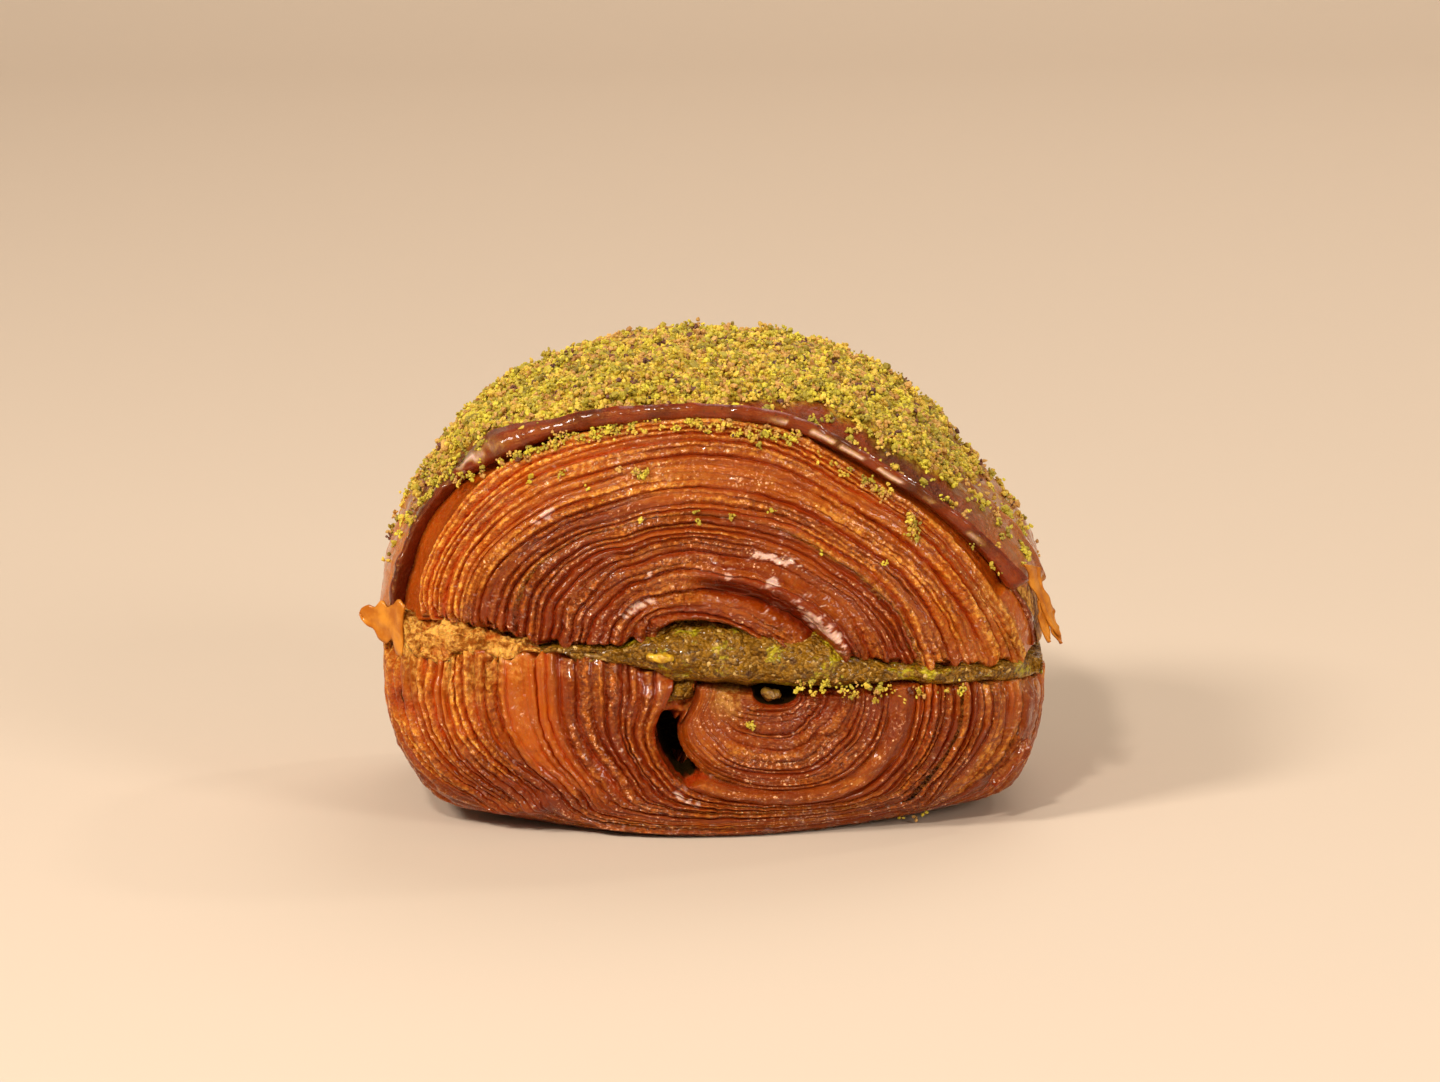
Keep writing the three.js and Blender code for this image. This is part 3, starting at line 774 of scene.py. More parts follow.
def lip(s, seed, swollen):
    """The rolled edge, from its hidden underside round its front to the skin: mm inwards of the lip's line
    and mm above the face, thicker and thinner by slow noise, and swollen at one place. A painted highlight
    runs along a thin stroke on the right and over a wider patch on the left."""
    x, z = lip_line(s)
    size = np.hypot(x, z - WAIST)
    inwards, lift = LIP_ROLL.T[..., None]
    thick = 1 + 0.25 * noise(seed + 46, s * 9) + 0.12 * noise(seed + 47, s * 37)
    thick = (thick + swollen * hump(s, 0.29, 0.06)) * lip_size(x)
    whole = torn(x, -face_depth(x, z), z)
    inwards = inwards * thick * mix(0.4, 1.0, whole)
    point, out = face_point(x - inwards * x / size, z - inwards * (z - WAIST) / size)
    lift = np.where(lift > 0, lift * thick * whole, lift) - 0.3 * (1 - whole)
    lift = lift + 0.22 * rough(seed + 48, s * 70, inwards * 1.2) * (lift > -1)
    # Painted highlight on the lip: a thin stroke along one row on the right, a wider patch on the left.
    highlight_patch = hump(s, 0.26, 0.035)
    lengths = smooth(s, 0.56, 0.6) * (1 - smooth(s, 0.8, 0.84)) + highlight_patch
    lip_highlight = hump(np.arange(len(LIP_ROLL))[:, None] - HIGHLIGHT_ROW, 0.8 * highlight_patch, 0.45 + 0.8 * highlight_patch)
    patchy = smooth(noise(seed + 49, s * 75, inwards * 2) + 0.35 * highlight_patch, -0.05, 0.3)
    lip_highlight = lip_highlight * lengths.clip(0, 1) * patchy
    return point + lift[..., None] * out, values_for(
        lift.shape, groove=0.5 * LIP_SHADE * whole, bake=1.0, gloss=0.9, leaf=inwards, tone=0.3,
        skin=whole * (1 - 0.4 * LIP_SHADE) * (1 - lip_highlight), dust=lip_highlight)


def skin_block(s, seed):
    """Both lips and the rows between them."""
    share = (np.arange(SKIN_ROWS) + 0.4)[:, None] / (SKIN_ROWS - 0.2)
    share = mix(share, 0.5 - 0.5 * np.cos(np.pi * share), 0.3)
    point, _, whole, thick = skin_point(s, share)
    x, y, z = np.moveaxis(point, -1, 0)
    bare = 1 - whole
    # The lower left flank is paler: partly its own thin skin dusted with crumbs, partly painted sheen.
    flank = smooth(-x, 38, 45) * (1 - smooth(z, 40, 50))
    side = values_for(whole.shape, groove=0.3 * bare * (0.5 + 0.5 * noise(60, s * 300, share * 9)),
                      tone=0.4 * noise(61, y / 6, z / 6), skin=whole, pale=1.0 * bare + 0.1 * flank,
                      bake=(0.95 - 0.85 * flank - 0.5 * smooth(x, 30, 44)) * whole, dust=thick,
                      leaf=share * 30, gloss=0.3 + 0.6 * hump(share, 0, 0.07))
    return join_rows(lip(s, seed, 0.6), (point, side), backwards(lip(s, seed + 100, 0.0)))


skin = closed_grid("dome_skin", skin_block(np.linspace(0, 1, 420), 100), (0, 0, CUT_HEIGHT - 1.5), True)

# %% [markdown]
# Cup
#
# Below the cut the layers turn round the rolled-in start of the dough, the coil. Twenty-six show on the
# left, fewer on the right and along the tray, because some close up on the way. The dough has pulled away
# from the coil on its left and left an open crescent, and a pocket gapes over the coil's heart.

# %% The cup
CUP_LAYERS, COIL_LAYERS = 26, 14
CUP_SIDE_ROWS = 110
LEDGE, CRESCENT = 2.6, 12.0
POCKET, POCKET_X, POCKET_Z = 7.0, 9.2, 21.6


def cup_widths(s, seed):
    """Widths that wander, shrink along the tray, and swell for one smooth band on the left."""
    k = np.arange(CUP_LAYERS)[:, None]
    tray = smooth(s, 0.18, 0.38) * (1 - smooth(s, 0.66, 0.84))
    widths = wandering_widths(CUP_LAYERS, s, seed, 0.35)
    widths = widths * mix(1.0, np.where(k > 14, 0.2, 1.0) * np.where(k % 2 == 1, 0.4, 1.0), tray)
    widths = widths * (1 - 0.85 * (smooth(s, 0.42, 0.66) * (k % 5 % 3 == 1)))
    wide = 0.3 * hump(k, 10.5, 1.2) + 0.35 * smooth(k, 1, 4) * (1 - smooth(k, 12, 15))
    return widths * (1 + wide * (1 - smooth(s, 0.16, 0.34)))


def crescent_depth(s):
    """How far in the crescent's floor lies: a lit ledge at the top, deep beside the coil, then shut."""
    return LEDGE + (CRESCENT - LEDGE) * smooth(s, 0.045, 0.1) - (CRESCENT + LEDGE) * smooth(s, 0.25, 0.31)


def banded(line, rows, s, seed, baked):
    """The points and values of one family of the cup's layers. The cup has one smooth, paler band and a
    knot at the lower left, and the coil's outer layers sink on the left, smooth and glossy."""
    t, leaf, gloss, groove = (rows[name] for name in ("t", "leaf", "gloss", "groove"))
    lift = rows["lift"] + 1.0 * rounded_feet(s, seed + 5, np.floor(leaf))
    if line is cup_line:
        x, z = cup_turn(t, s, seed + 31)
        smoothed = smooth(leaf, 7.9, 8.6) * (1 - smooth(leaf, 12.2, 12.9)) * (1 - smooth(s, 0.22, 0.34))
        knot = hump(s, 0.3, 0.022) * smooth(leaf, 13, 17)
        lift = mix(lift, 0.3 + 0.75 * lift.clip(-1, 1), smoothed) + 0.9 * knot
        gloss = mix(gloss, 1.0, smoothed)
        baked, scrap = baked - 0.45 * smoothed, 0
    else:
        x, z = coil_line(t, s)
        fading = 1 - smooth(s, 0.12, 0.42)
        rolled = smooth(t, 0.72, 1.0) ** 2 * (1 - smooth(s, 0.3, 0.5))
        lift, gloss = lift * (1 - 0.8 * fading) - 2.4 * rolled, mix(0.35 + 0.65 * gloss, 1.0, fading)
        groove = groove * (1 - 0.6 * fading)
        baked = baked - 0.4 * smooth(6 - x, 0, 7)
        scrap = 2.4 * np.exp(-(((x - 4.0) / 2.8) ** 2) - ((z - 20.4) / 1.8) ** 2)
    lift = lift + blisters(x, z, seed + 8, gloss, rows["groove"])
    point, out = face_point(x, z)
    lit_from = mix(3, 13, smooth(x, -5, 5))
    gold = smooth(z, lit_from, lit_from + 17) * smooth(np.abs(x - 2), 14, 42)
    pale = 1.3 * smooth(z, 18, 25.5) * smooth(-x, 20, 38) + 0.6 * smooth(z, 17, 25) * smooth(x, 36, 46)
    scorched = np.exp(-((x + 44) ** 2 + (z - 19.5) ** 2) / 3.0)
    # Strokes of painted highlight ride in the dust-and-highlight value.
    return point + lift[..., None] * out, values_for(
        t.shape, groove=groove + scorched, tone=rows["tone"], leaf=leaf, gloss=gloss,
        dust=0.8 * painted_highlights(x, z, seed + 60) * (1 - groove).clip(0, 1),
        bake=baked - 0.75 * gold + 0.9 * scorched,
        pale=((pale + scrap) * (0.55 + 0.6 * noise(seed, x / 1.2, z / 4))).clip(0, 1))


def hollow_rows(s, line, steps, **given):
    """Rows of a hollow's wall or floor: the line's t, how far towards the pocket, and the depth."""
    points = []
    for t, inset, depth in steps:
        x, z = line(np.full(1, t), s)
        point, out = face_point(mix(x, POCKET_X, inset), mix(z, POCKET_Z, inset))
        points.append(point - depth * out)
    return np.array(points), values_for(
        (len(steps), len(s)), leaf=np.arange(len(steps))[:, None] * 0.4, **given)


def gap_rows(s, seed):
    """From the coil's outside to the first turn: a hollow with steep walls on the left, and where it is
    shut a smooth band that bulges by a half sine."""
    share = np.array([0.0, 0.05, 0.12, 0.25, 0.4, 0.55, 0.7, 0.85, 0.95, 1.0])[:, None]
    inner, outer = coil_line(np.ones(1), s), cup_turn(np.zeros(1), s, seed + 31)
    point, out = face_point(*(mix(inner[i], outer[i], share) for i in (0, 1)))
    shut, from_wall = smooth(s, 0.27, 0.32), np.minimum(share, 1 - share)
    deep_at = s + 0.02 * noise(seed + 52, share * 4, s * 40)
    hollow = -2.0 - np.maximum(0.3, crescent_depth(deep_at) - 2.0) * smooth(from_wall, -0.01, 0.12)
    hollow = hollow + 0.7 * rough(seed + 53, share * 3, s * 60)
    bulge = 1.1 * np.sin(np.pi * share) ** 0.8 - 0.3 + 0.3 * noise(seed + 50, share * 5, s * 22)
    lift = mix(hollow, bulge, shut)
    # The hollow is painted dark as painted shade, and near black deep beside the coil.
    dark = 0.7 + 0.5 * noise(seed + 54, share * 5, s * 70)
    dark = mix(dark, 1.6 * smooth(from_wall, 0, 0.03), smooth(deep_at, 0.06, 0.1))
    return point + lift[..., None] * out, values_for(
        lift.shape, groove=mix(dark, 0.5 * (1 - np.sin(np.pi * share)), shut), bake=mix(0.6, 0.75, shut),
        gloss=0.8, pale=0.25 * (1 - smooth(deep_at, 0.04, 0.09)), leaf=share * 3,
        tone=0.6 * noise(seed + 51, s * 9, share * 3))


def cup_end(columns, seed):
    """The rows of one end: the pocket, the coil, the gap round it and the turns."""
    s = np.linspace(0, 1, columns)
    coil = band_rows(coil_line, wandering_widths(COIL_LAYERS, s, seed + 20), s, seed + 20, 0.5, 0.7, 0.8)
    turns = band_rows(cup_line, cup_widths(s, seed + 40), s, seed + 40, 0.5)
    pocket = [(0.0, 0.8, POCKET), (0.0, 0.3, POCKET * 0.9), (0.0, 0.05, 1.8)]
    # The pocket is painted near black as painted shade.
    return join_rows(
        hollow_rows(s, coil_line, pocket, groove=1.6, bake=0.8, gloss=1.0),
        banded(coil_line, coil, s, seed + 20, 1.05),
        gap_rows(s, seed + 40),
        banded(cup_line, turns, s, seed + 40, 0.86),
        hollow_rows(s, cup_line, [(1.0, 0.0, 0.9), (1.0, 0.0, 2.5)], groove=0.3, bake=0.6))


def cup_side(s):
    """The crust round the sides and the flat underside, from the front rim to the back one. Near a rim it
    falls in terraces, the edges of the layers."""
    rim_x, rim_z = cup_line(np.ones(1), s)
    share = (np.arange(CUP_SIDE_ROWS) + 0.3)[:, None] / (CUP_SIDE_ROWS - 0.4)
    depth = face_depth(rim_x, rim_z)
    point, out = side_point(rim_x, rim_z, depth * mix(2 * share - 1, -np.cos(np.pi * share), 0.5))
    x, y, z = np.moveaxis(point, -1, 0)
    from_rim = depth - np.abs(y)
    terrace = (from_rim + 0.5 * noise(83, s * 12)) / 1.7
    terrace = terrace + 0.35 * noise(84, s * 25, np.floor(terrace))
    rim = (1 - smooth(from_rim, 5, 9)) * smooth(z, 0.5, 3)
    ridge = np.abs(np.sin(np.pi * terrace)) ** 0.8
    lift = 0.35 * noise(80, x / 9, y / 9, z / 9) + 0.9 * rim * (ridge - 0.6)
    lift = lift + 0.14 * rough(81, x / 1.2, y / 1.2, z / 1.2)
    full = 1.2 * hump(z, 4, 3.5) * smooth(np.abs(x - 4), 24, 36)
    lift = lift + (full - 1.2 * smooth(-x, 34, 44)) * smooth(from_rim, 1, 7)
    point = point + (lift * smooth(z, 0.5, 4) - 0.1)[..., None] * out
    z = point[..., 2]
    return point, values_for(
        y.shape, groove=rim * (1 - ridge), bake=0.7 + 0.2 * (1 - smooth(z, 0.4, 3)) - 0.6 * smooth(z, 12, 25),
        skin=0.7 * (1 - rim), leaf=terrace, gloss=0.4, pale=0.5 * rim * smooth(z, 18, 25),
        tone=0.5 * noise(85, s * 12, np.floor(terrace)))


FRONT_TIP, BACK_TIP = (4, -3, CUT_HEIGHT - 2), (4, 3, CUT_HEIGHT - 2)
coil_front, cup_front = parted(("coil_front", "cup_front"), cup_end(400, 300), 205, FRONT_TIP, False)
cup_back = closed_grid("cup_back", backwards(cup_end(200, 400)), BACK_TIP, False)
cup_crust = closed_grid("cup_crust", cup_side(np.linspace(0, 1, 300)), (0, 0, CUT_HEIGHT - 1), False)

# %% [markdown]
# Flakes
#
# Where the skin and the outer layers end, single leaves stand off: one at the far left, three fingers at the
# right end of the cut, one at the lower right. Each is a curved strip that narrows to a ragged tip, made
# solid by a Solidify modifier, which suits a sheet of even thickness. Four are amber, because light comes
# through them, and the lowest is dark crust.

# %% Flakes
LEAF_THICKNESS = 0.35


def flake(name, material, first, last, tip, curl, seed, rows=26, columns=14):
    """Across the strip v runs between the two root points, along it u runs to the tip: the width falls as
    (1-u)^0.5 with ragged edges, and the strip bows outwards by curl * sin(pi u)."""
    u, v = np.meshgrid(np.linspace(0, 1, rows), np.linspace(-1, 1, columns), indexing="ij")
    first, last, tip = (np.array(p, float) for p in (first, last, tip))
    middle = mix((first + last) / 2, tip, u[..., None])
    width = (1 - u) ** 0.5 * (1 + 0.35 * noise(seed, u * 7, np.sign(v) * 3)) + 0.03
    points = middle + (v * width)[..., None] * (last - first) / 2
    outwards = np.cross(last - first, tip - first)
    outwards /= np.linalg.norm(outwards)
    bow_out = curl * np.sin(np.pi * u) + 0.25 * noise(seed + 1, u * 4, v * 2)
    points = points + bow_out[..., None] * outwards
    values = values_for(u.shape, groove=0.1, tone=noise(seed + 2, u * 3, v), bake=1.0, gloss=0.8)
    values["grain"] = np.stack([v * 0.5, u * 2, u], -1)
    piece = make_piece(name, points.reshape(-1, 3), grid_faces(rows, columns), in_line(values), material)
    solid = piece.modifiers.new("leaf", "SOLIDIFY")
    solid.thickness = LEAF_THICKNESS * MM
    solid.offset = 0
    return piece


def amber_material():
    """A thin baked leaf, golden brown in blotches, with a little syrup on it."""
    r = Recipe("amber_leaf")
    fine = r.grain(r.place(), 420.0, 3.0)
    body = r.blend(fine.between(0.35, 0.7), (168, 88, 8), (204, 128, 36))
    return r.finish(base_color=body, roughness=0.4, coat_weight=0.4, coat_roughness=0.12, coat_ior=1.35,
                    specular_tint=(1.0, 0.6, 0.2, 1.0), normal=r.bump(fine, 0.0004, 0.7))


AMBER = amber_material()
# Each flake: its two root points and its tip in mm, how far it bows out and its seed.
FLAKE_SHAPES = {
    "flake_left": ((-43.4, -26.2, 33.0), (-43.8, -25.8, 26.0), (-50.0, -21, 31.0), 0.5, 501),
    "flake_right_high": ((45.0, -23.0, 37.5), (47.2, -20.5, 36.6), (50.2, -19.5, 26.2), 0.6, 503),
    "flake_right_mid": ((46.8, -21.5, 32.0), (48.6, -19.0, 31.0), (48.6, -20.5, 25.6), 0.3, 504),
    "flake_right_low": ((47.8, -20.0, 31.0), (49.2, -18.0, 30.5), (50.4, -19.5, 25.2), 0.3, 505),
    "flake_low": ((38.5, -27.6, 5.0), (43.0, -24.5, 12.0), (45.6, -25.0, 10.6), -0.3, 506),
}
FLAKES = [flake(name, CRUST if name == "flake_low" else AMBER, *shape) for name, shape in FLAKE_SHAPES.items()]

# %% [markdown]
# Cream and torn crumb
#
# The cream is a slab with a lumpy rim, widest in the middle of the front. The crumb that still joins both
# halves on the left is the same kind of slab. Each is a closed tube of rounded oblongs from left to right.

# %% Slabs across the pastry
CREAM_LEFT, CREAM_RIGHT = -24.0, 47.6
CREAM_FAT, FAT_LEFT, FAT_RIGHT = 3.0, 15.0, 22.0
CRUMB_LEFT, CRUMB_RIGHT = -46.4, -22
SLAB_REACH = (-45.5, 46.5)


def fatness(x):
    """1 in the middle of the front, falling to 0 as a cubic to the left and right."""
    across = (x - CREAM_FAT) / np.where(x < CREAM_FAT, FAT_LEFT, FAT_RIGHT)
    return np.clip(1 - np.abs(across) ** 3, 0, 1)


def ring(count):
    """The angles of a closed ring of points."""
    return np.linspace(0, 2 * np.pi, count, endpoint=False)[None]


def slab(x, turn, low, high, proud):
    """Rounded oblongs: y is depth * |cos|^0.35 and z runs with |sin|^0.7 between low and high."""
    depth = face_depth(np.clip(x, *SLAB_REACH), cut_height(x))
    rim = np.sign(np.cos(turn)) * np.abs(np.cos(turn)) ** 0.35
    tall = 0.5 + 0.5 * np.sign(np.sin(turn)) * np.abs(np.sin(turn)) ** 0.7
    return np.stack(np.broadcast_arrays(x, (depth + proud) * rim, mix(low, high, tall)), -1)


def closed_tube(name, points, values, material):
    """The rings of a tube as triangles, with its two ends shut by fans."""
    stations, around = points.shape[:2]
    count = stations * around
    first, last = np.arange(around), count - around + np.arange(around)
    corners = np.concatenate([points.reshape(-1, 3), [points[0].mean(0)], [points[-1].mean(0)]])
    fans = [np.stack([np.roll(first, -1), first, np.full(around, count)], -1),
            np.stack([last, np.roll(last, -1), np.full(around, count + 1)], -1)]
    faces = np.concatenate([split(grid_faces(stations, around, closed=True)), *fans])
    return make_piece(name, corners, faces, in_line(values, [0, -1]), material)


def roughened(points, size, rise, seed, octaves=3):
    """Points pushed outwards in y, and half as much upwards, by noise; returns the noise as well."""
    bumps = rough(seed, *np.moveaxis(points / size, -1, 0), octaves=octaves)
    sideways = rise * bumps * np.sign(points[..., 1])
    return points + np.stack([0 * bumps, sideways, 0.5 * rise * bumps], -1), bumps


# %% [markdown]
# Cream's finish
#
# Pistachio paste is olive-brown with lighter green where nuts were ground, flecked with bits of purple
# skin, and it shines because it is full of oil.


# %% The cream
def cream_material():
    """Chips of olive and tan, green patches and dark flecks, under an oily coat. The palest tan chips are
    partly pale bits of nut and partly painted glints.
    """
    r = Recipe("pistachio_cream")
    place = r.place()
    patches = r.grain(place, 260.0, 3.0, 0.6)
    fine = r.grain(place, 1900.0, 2.0, 0.6)
    grains, chips = r.cells(place, 1900.0), r.cells(place, 1900.0, "Color")
    paste = r.blend(chips.between(0.1, 0.8), (92, 54, 0), (140, 92, 6))
    # Pale chips: partly pale bits of nut, partly painted glints.
    paste = r.blend(chips.between(0.8, 0.95) * 0.8, paste, (222, 182, 110))
    paste = r.blend((patches + fine * 0.3).between(0.7, 0.84) * 0.75, paste, (184, 168, 6))
    paste = r.blend(r.cells(place, 330.0).between(0.24, 0.12) * 0.8, paste, (70, 36, 26))
    return r.finish(base_color=paste, roughness=0.42, specular_tint=(1.0, 0.8, 0.35, 1.0),
                    coat_weight=patches.between(0.35, 0.6) * 0.8, coat_roughness=0.06, coat_ior=1.38,
                    subsurface_weight=0.1, subsurface_radius=(0.6, 0.45, 0.15), subsurface_scale=0.0012,
                    normal=r.bump(fine * 0.5 - grains * 0.8, 0.0006))


def cream_surface():
    """The slab, proud of the crust by lumps of three sizes."""
    x, turn = np.linspace(CREAM_LEFT, CREAM_RIGHT, 300)[:, None], ring(230)
    taper = np.clip((x - CREAM_LEFT) / 5, 0.35, 1)
    high = cut_height(x) + taper * (2.0 + 4.0 * fatness(x)) + 0.5 * noise(91, x / 2.2)
    low = cut_height(x) - taper * (2.3 + 2.2 * fatness(x)) + 0.5 * noise(92, x / 2.6)
    lumps = 0.7 * noise(93, x / 4, np.cos(turn) * 3, np.sin(turn) * 3)
    nubs = 0.3 * noise(94, x / 1.3, np.sin(turn) * 5, np.cos(turn) * 2)
    return roughened(slab(x, turn, low, high, lumps + nubs + 0.4 + 1.6 * fatness(x)), 1.0, 0.34, 95)[0]


CREAM = cream_material()
cream = closed_tube("cream_slab", cream_surface(), {}, CREAM)


# %% The torn crumb
def crumb_surface():
    """Open, ragged holes of baked dough on the left of the cut."""
    x, turn = np.linspace(CRUMB_LEFT, CRUMB_RIGHT, 170)[:, None], ring(240)
    taper = np.clip((CRUMB_RIGHT - x) / 12, 0.1, 1)
    high = cut_height(x) + taper * (4.0 + 1.2 * noise(96, x / 2))
    low = cut_height(x) - taper * (5.0 + 1.2 * noise(97, x / 2))
    proud = -0.5 + 0.8 * noise(98, x / 2.4, np.cos(turn) * 3, np.sin(turn) * 3)
    return roughened(slab(x, turn, low, high, proud), 1.5, 0.8, 99, 4)


crumb_points, crumb_bumps = crumb_surface()
# The crumb's dents are painted darker: painted shade in its holes.
holes = smooth(-crumb_bumps, 0.0, 0.8)
crumb_values = values_for(holes.shape, groove=0.6 * holes, bake=0.1, pale=0.95 - 0.5 * holes, gloss=0.2)
crumb_values["grain"] = crumb_points * 0.5
torn_crumb = closed_tube("torn_crumb", crumb_points, crumb_values, CRUST)


# %% Larger bits of nut in the cut
def bit(name, middle, halves, tilt, material):
    """An ellipsoid of rings: a ring's radius is sqrt(1 - u^2), dented by noise and tilted in the face."""
    u, turn = np.sin(np.linspace(-0.48, 0.48, 18) * np.pi)[:, None], ring(16)
    radius = np.sqrt(1 - u**2) * (1 + 0.6 * noise(len(name), u * 3, np.cos(turn) * 2, np.sin(turn) * 2))
    along, high = u * halves[0] + 0 * turn, radius * np.sin(turn) * halves[2]
    x = middle[0] + along * math.cos(tilt) - high * math.sin(tilt)
    y = middle[1] + radius * np.cos(turn) * halves[1]
    z = middle[2] + along * math.sin(tilt) + high * math.cos(tilt)
    return closed_tube(name, np.stack([x, y, z], -1), {}, material)


def nut_material(name, first, second):
    """A cut nut, oily, in two colours."""
    r = Recipe(name)
    fine = r.grain(r.place(), 1500.0, 3.0)
    return r.finish(base_color=r.blend(fine.between(0.3, 0.7), first, second), roughness=0.4, coat_weight=0.4,
                    coat_roughness=0.1, normal=r.bump(fine, 0.0003, 0.8))


YELLOW_NUT = nut_material("nut_yellow", (214, 170, 20), (180, 126, 14))
OLIVE_NUT = nut_material("nut_olive", (164, 120, 40), (96, 58, 12))
BITS = [
    bit("nut_sliver", (-7.0, -35.1, 27.0), (2.0, 0.8, 0.7), -0.12, YELLOW_NUT),
    bit("nut_shaving", (-16.8, -32.2, 26.9), (3.4, 0.8, 0.6), -0.1, OLIVE_NUT),
    bit("cream_in_crescent", (-4.4, -30.8, 21.4), (2.4, 1.3, 1.5), 0.5, CREAM),
    bit("nut_in_pocket", (8.6, -31.8, 21.0), (1.5, 1.2, 0.8), -0.25, OLIVE_NUT),
]

# %% [markdown]
# Chopped nuts
#
# The topping is thousands of nibs about half a millimetre wide. One nib is a dented ball of twenty faces.
# They lie in little heaps a millimetre or so across. The heaps are scattered over the skin by the same field
# that dusts it, and some have fallen on the front. All nibs of a heap are of one kind, since a heap is one
# crumbled nut, and each kind is one joined mesh.

# %% Nibs
NIB_SEED = 5
HEAP_TRIES = 17500
NIB_RADII = (0.16, 0.38)
LARGE_SHARE, LARGE = 0.05, 1.5
HEAP_SPREAD = 0.34
FINE_ON_FRONT = 0.72
NIB_KINDS = {
    "nibs_yellow": (0.27, (230, 196, 66), (174, 128, 26)),
    "nibs_lime": (0.28, (216, 196, 48), (158, 126, 16)),
    "nibs_green": (0.23, (180, 160, 34), (124, 100, 16)),
    "nibs_tan": (0.19, (208, 158, 76), (158, 104, 38)),
    "nibs_skin": (0.03, (124, 66, 38), (68, 32, 22)),
}


def ball():
    """The twelve corners and twenty faces of an icosahedron."""
    gold = (1 + 5**0.5) / 2
    corners = [(a, b * gold, 0) for a in (-1, 1) for b in (-1, 1)]
    corners = corners + [(0, a, b) for a, b, _ in corners] + [(b, 0, a) for a, b, _ in corners]
    corners = np.array(corners) / np.linalg.norm(corners[0])
    touch = np.linalg.norm(corners[:, None] - corners[None], axis=-1) < 1.1
    faces = np.array([(i, j, k) for i in range(12) for j in range(i + 1, 12) for k in range(j + 1, 12)
                      if touch[i, j] and touch[j, k] and touch[i, k]])
    a, b, c = (corners[faces[:, n]] for n in range(3))
    inward = np.einsum("ij,ij->i", np.cross(b - a, c - a), a) < 0
    faces[inward] = faces[inward][:, ::-1]
    return corners, faces


def scattered(name, centres, sizes, heaps, seed, material):
    """A dented ball at each centre: its corners moved by chance, stretched, turned and set in place. Its
    shade is mostly that of its heap."""
    random = np.random.default_rng(seed)
    corners, faces = ball()
    count = len(centres)
    dented = corners * (1 + 0.3 * random.uniform(-1, 1, (count, 12, 1)))
    dented = dented * random.uniform(0.6, 1.4, (count, 1, 3))
    turns, _ = np.linalg.qr(random.normal(size=(count, 3, 3)))
    turns[:, :, 0] *= np.sign(np.linalg.det(turns))[:, None]
    placed = np.einsum("nij,nkj->nki", turns, dented) * sizes[:, None, None] + centres[:, None]
    numbers = (faces[None] + 12 * np.arange(count)[:, None, None]).reshape(-1, 3)
    shade = 0.7 * random.uniform(0, 1, heaps.max() + 1)[heaps] + 0.3 * random.uniform(0, 1, count)
    values = {"shade": np.repeat(shade, 12)}
    return make_piece(name, placed.reshape(-1, 3), numbers, values, material, smooth_faces=False)


def nib_material(name, light, dark):
    """Dry chopped nut: dark to light by the nib's shade and a fine grain."""
    r = Recipe(name)
    fine = r.grain(r.place(), 2200.0, 2.0)
    body = r.blend((r.attribute("shade") * 0.75 + fine * 0.4).between(0.1, 1.0), dark, light)
    return r.finish(base_color=body, roughness=0.6, subsurface_weight=0.2, subsurface_radius=(0.8, 0.7, 0.2),
                    subsurface_scale=0.0006, normal=r.bump(fine, 0.0002, 0.6))


def on_crown(random, count):
    """Places on the skin, kept by the chance that the coverage gives, and the way the skin faces there."""
    s, share = random.uniform(0.01, 0.99, count), random.uniform(0.005, 0.995, count)
    point, out, whole, thick = skin_point(s, share, relief=False)
    clump = 0.5 + 0.9 * rough(72, *(point / 2.4).T, octaves=2)
    chance = thick * (0.35 + clump.clip(0, 1)) + 0.06 * whole * smooth(point[:, 2], 40, 52)
    keep = random.uniform(0, 1, count) < chance
    return (point + mounds(point, thick)[:, None] * out)[keep], out[keep]


# Each line of fallen nibs: its two ends as x and z in mm, the spread about it and the number of heaps.
STREWN = [
    ((-39, 49), (-31, 52.5), 0.7, 22), ((-30, 53), (-20, 57), 0.6, 34), ((-21, 57.5), (-2, 60), 0.9, 60),
    ((-2, 59.5), (13, 57.5), 1.0, 60), ((-10.5, 53.2), (-7, 52.6), 0.5, 16), ((28, 46), (29, 42.8), 0.7, 20),
    ((15, 55), (26, 49), 0.6, 30), ((12, 22.6), (36, 20.6), 1.0, 60), ((5, 17), (6, 16), 0.5, 3),
    ((24, 1.7), (30, 2.2), 0.6, 3), ((-25, 51), (30, 40), 4.0, 12), ((37, 41), (43, 36), 2.0, 12),
]


def on_front(random):
    """Places along short lines on the front end, spread about them, a little off the ridges."""
    start, stop, spread, count = (np.array(column) for column in zip(*STREWN))
    row = np.repeat(np.arange(len(count)), count)
    spot = mix(start[row], stop[row], random.uniform(0, 1, (len(row), 1)))
    x, z = (spot + spread[row, None] * random.normal(0, 0.6, (len(row), 2))).T
    point, out = face_point(x, z)
    off = 0.35 + 1.2 * fatness(x) * (np.abs(z - cut_height(x)) < 4)
    return point + out * off[:, None], out


random = np.random.default_rng(NIB_SEED)
places = [on_crown(random, HEAP_TRIES), on_front(random)]
seat, out = (np.concatenate(part) for part in zip(*places))
fine = np.repeat([1.0, FINE_ON_FRONT], [len(place[0]) for place in places])
owner = np.repeat(np.arange(len(seat)), random.integers(1, 10, len(seat)))
radius = random.uniform(*NIB_RADII, len(owner))
radius = radius * np.where(random.uniform(size=len(owner)) > 1 - LARGE_SHARE, LARGE, 1.0) * fine[owner]
centres = seat[owner] + random.normal(size=(len(owner), 3)) * HEAP_SPREAD * fine[owner, None]
along = np.einsum("ij,ij->i", centres - seat[owner], out[owner])
centres += out[owner] * (np.abs(along) - along + 0.3 * radius)[:, None]
print(len(owner), "nibs")

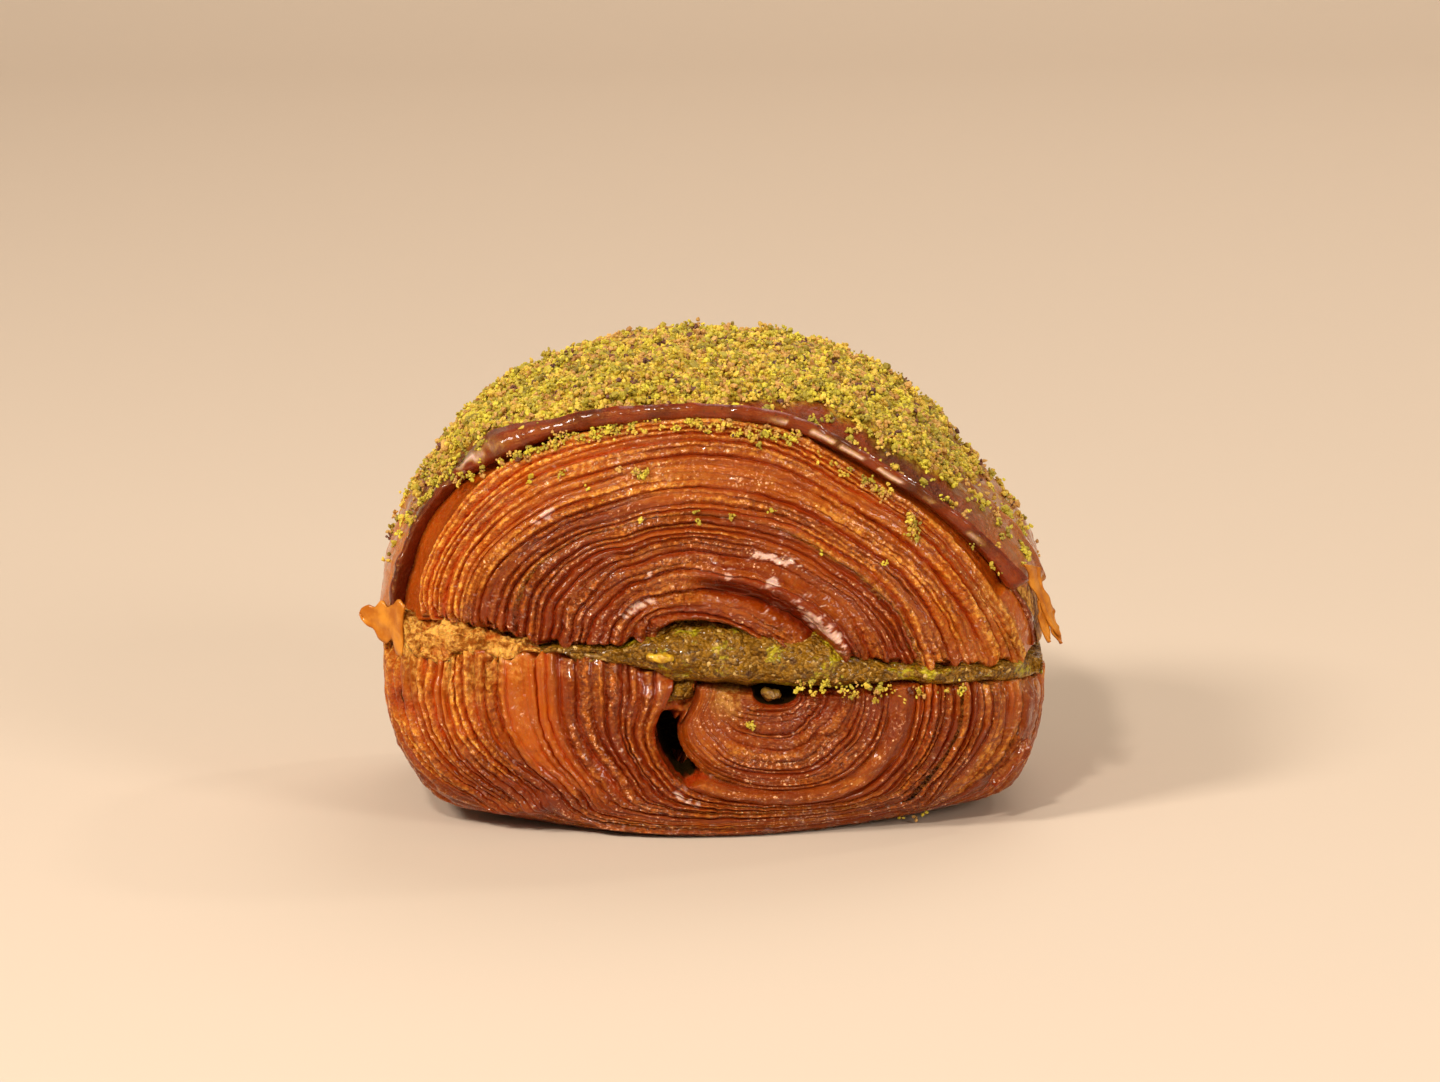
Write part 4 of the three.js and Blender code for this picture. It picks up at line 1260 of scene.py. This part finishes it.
kind_of = random.choice(len(NIB_KINDS), len(seat), p=[kind[0] for kind in NIB_KINDS.values()])[owner]
NIBS = []
for n, (name, (_, *colours)) in enumerate(NIB_KINDS.items()):
    own = kind_of == n
    material = nib_material(name, *colours)
    NIBS.append(scattered(name, centres[own], radius[own], owner[own], 20 + n, material))

# %% [markdown]
# Studio
#
# A pale sweep runs under the pastry and up behind it. The light is soft and nearly white: a large lamp from
# the front left and above with a small one beside it for crisp glints, a weaker one from the right, a wide
# one from behind, a small one from the right and behind, and the pale room all round.


# %% The sweep and the lights
def sweep():
    """A sheet as wide as the view: flat, then a quarter circle, then upright."""
    turn = np.linspace(0, np.pi / 2, 24)
    y = np.concatenate([[-2500, 600], 900 + 500 * np.sin(turn), [1400]])
    z = np.concatenate([[0, 0], 500 - 500 * np.cos(turn), [2600]])
    x = np.linspace(-2500, 2500, 3)
    points = np.stack(np.broadcast_arrays(x[None], y[:, None], z[:, None]), -1)
    paper = Recipe("sweep").finish(base_color=colour(210, 188, 163), roughness=0.8)
    return make_piece("sweep", points.reshape(-1, 3), grid_faces(len(y), 3), {}, paper)


floor = sweep()

MIDDLE = Vector((0, 0, 0.03))
LAMP_TINT = (1.0, 0.97, 0.94)
ROOM_LIGHT = 0.33
# Each lamp: its place and its width in metres, and its power in watts.
LAMPS = {
    "key": ((-0.8, -0.65, 0.85), 0.28, 12),
    "front": ((-0.3, -1.05, 0.85), 0.1, 9),
    "fill": ((0.8, -0.9, 0.5), 0.4, 6.5),
    "back": ((0.3, 0.8, 1.0), 0.8, 5),
    "rim": ((0.85, 0.45, 0.95), 0.1, 1.6),
}
for name, (place, size, power) in LAMPS.items():
    data = bpy.data.lights.new(name, "AREA")
    data.shape, data.size, data.energy, data.color = "SQUARE", size, power, LAMP_TINT
    lamp = bpy.data.objects.new(name, data)
    lamp.location = place
    lamp.rotation_euler = (MIDDLE - Vector(place)).to_track_quat("-Z", "Y").to_euler()
    bpy.context.collection.objects.link(lamp)
world = bpy.data.worlds.new("room")
world.use_nodes = True
background = world.node_tree.nodes["Background"]
background.inputs["Color"].default_value = colour(255, 244, 230)
background.inputs["Strength"].default_value = ROOM_LIGHT
bpy.context.scene.world = world
bpy.context.scene.view_settings.view_transform = "Standard"

# %% [markdown]
# Handing over
#
# Every piece rides on the part's one body, and the imported parts are hidden.

# %% Pieces and the frame
DOUGH = [dome_heart, dome_arches, dome_back, skin, coil_front, cup_front, cup_back, cup_crust, torn_crumb]
PASTRY = [*DOUGH, *FLAKES, *NIBS]
for piece in PASTRY:
    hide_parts("pastry")
    "chopped_pistachio" if piece in NIBS else "crust"
for piece in (cream, *BITS):
    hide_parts("pistachio_cream")
for piece in (*PASTRY, cream, *BITS):
    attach(piece, "root")
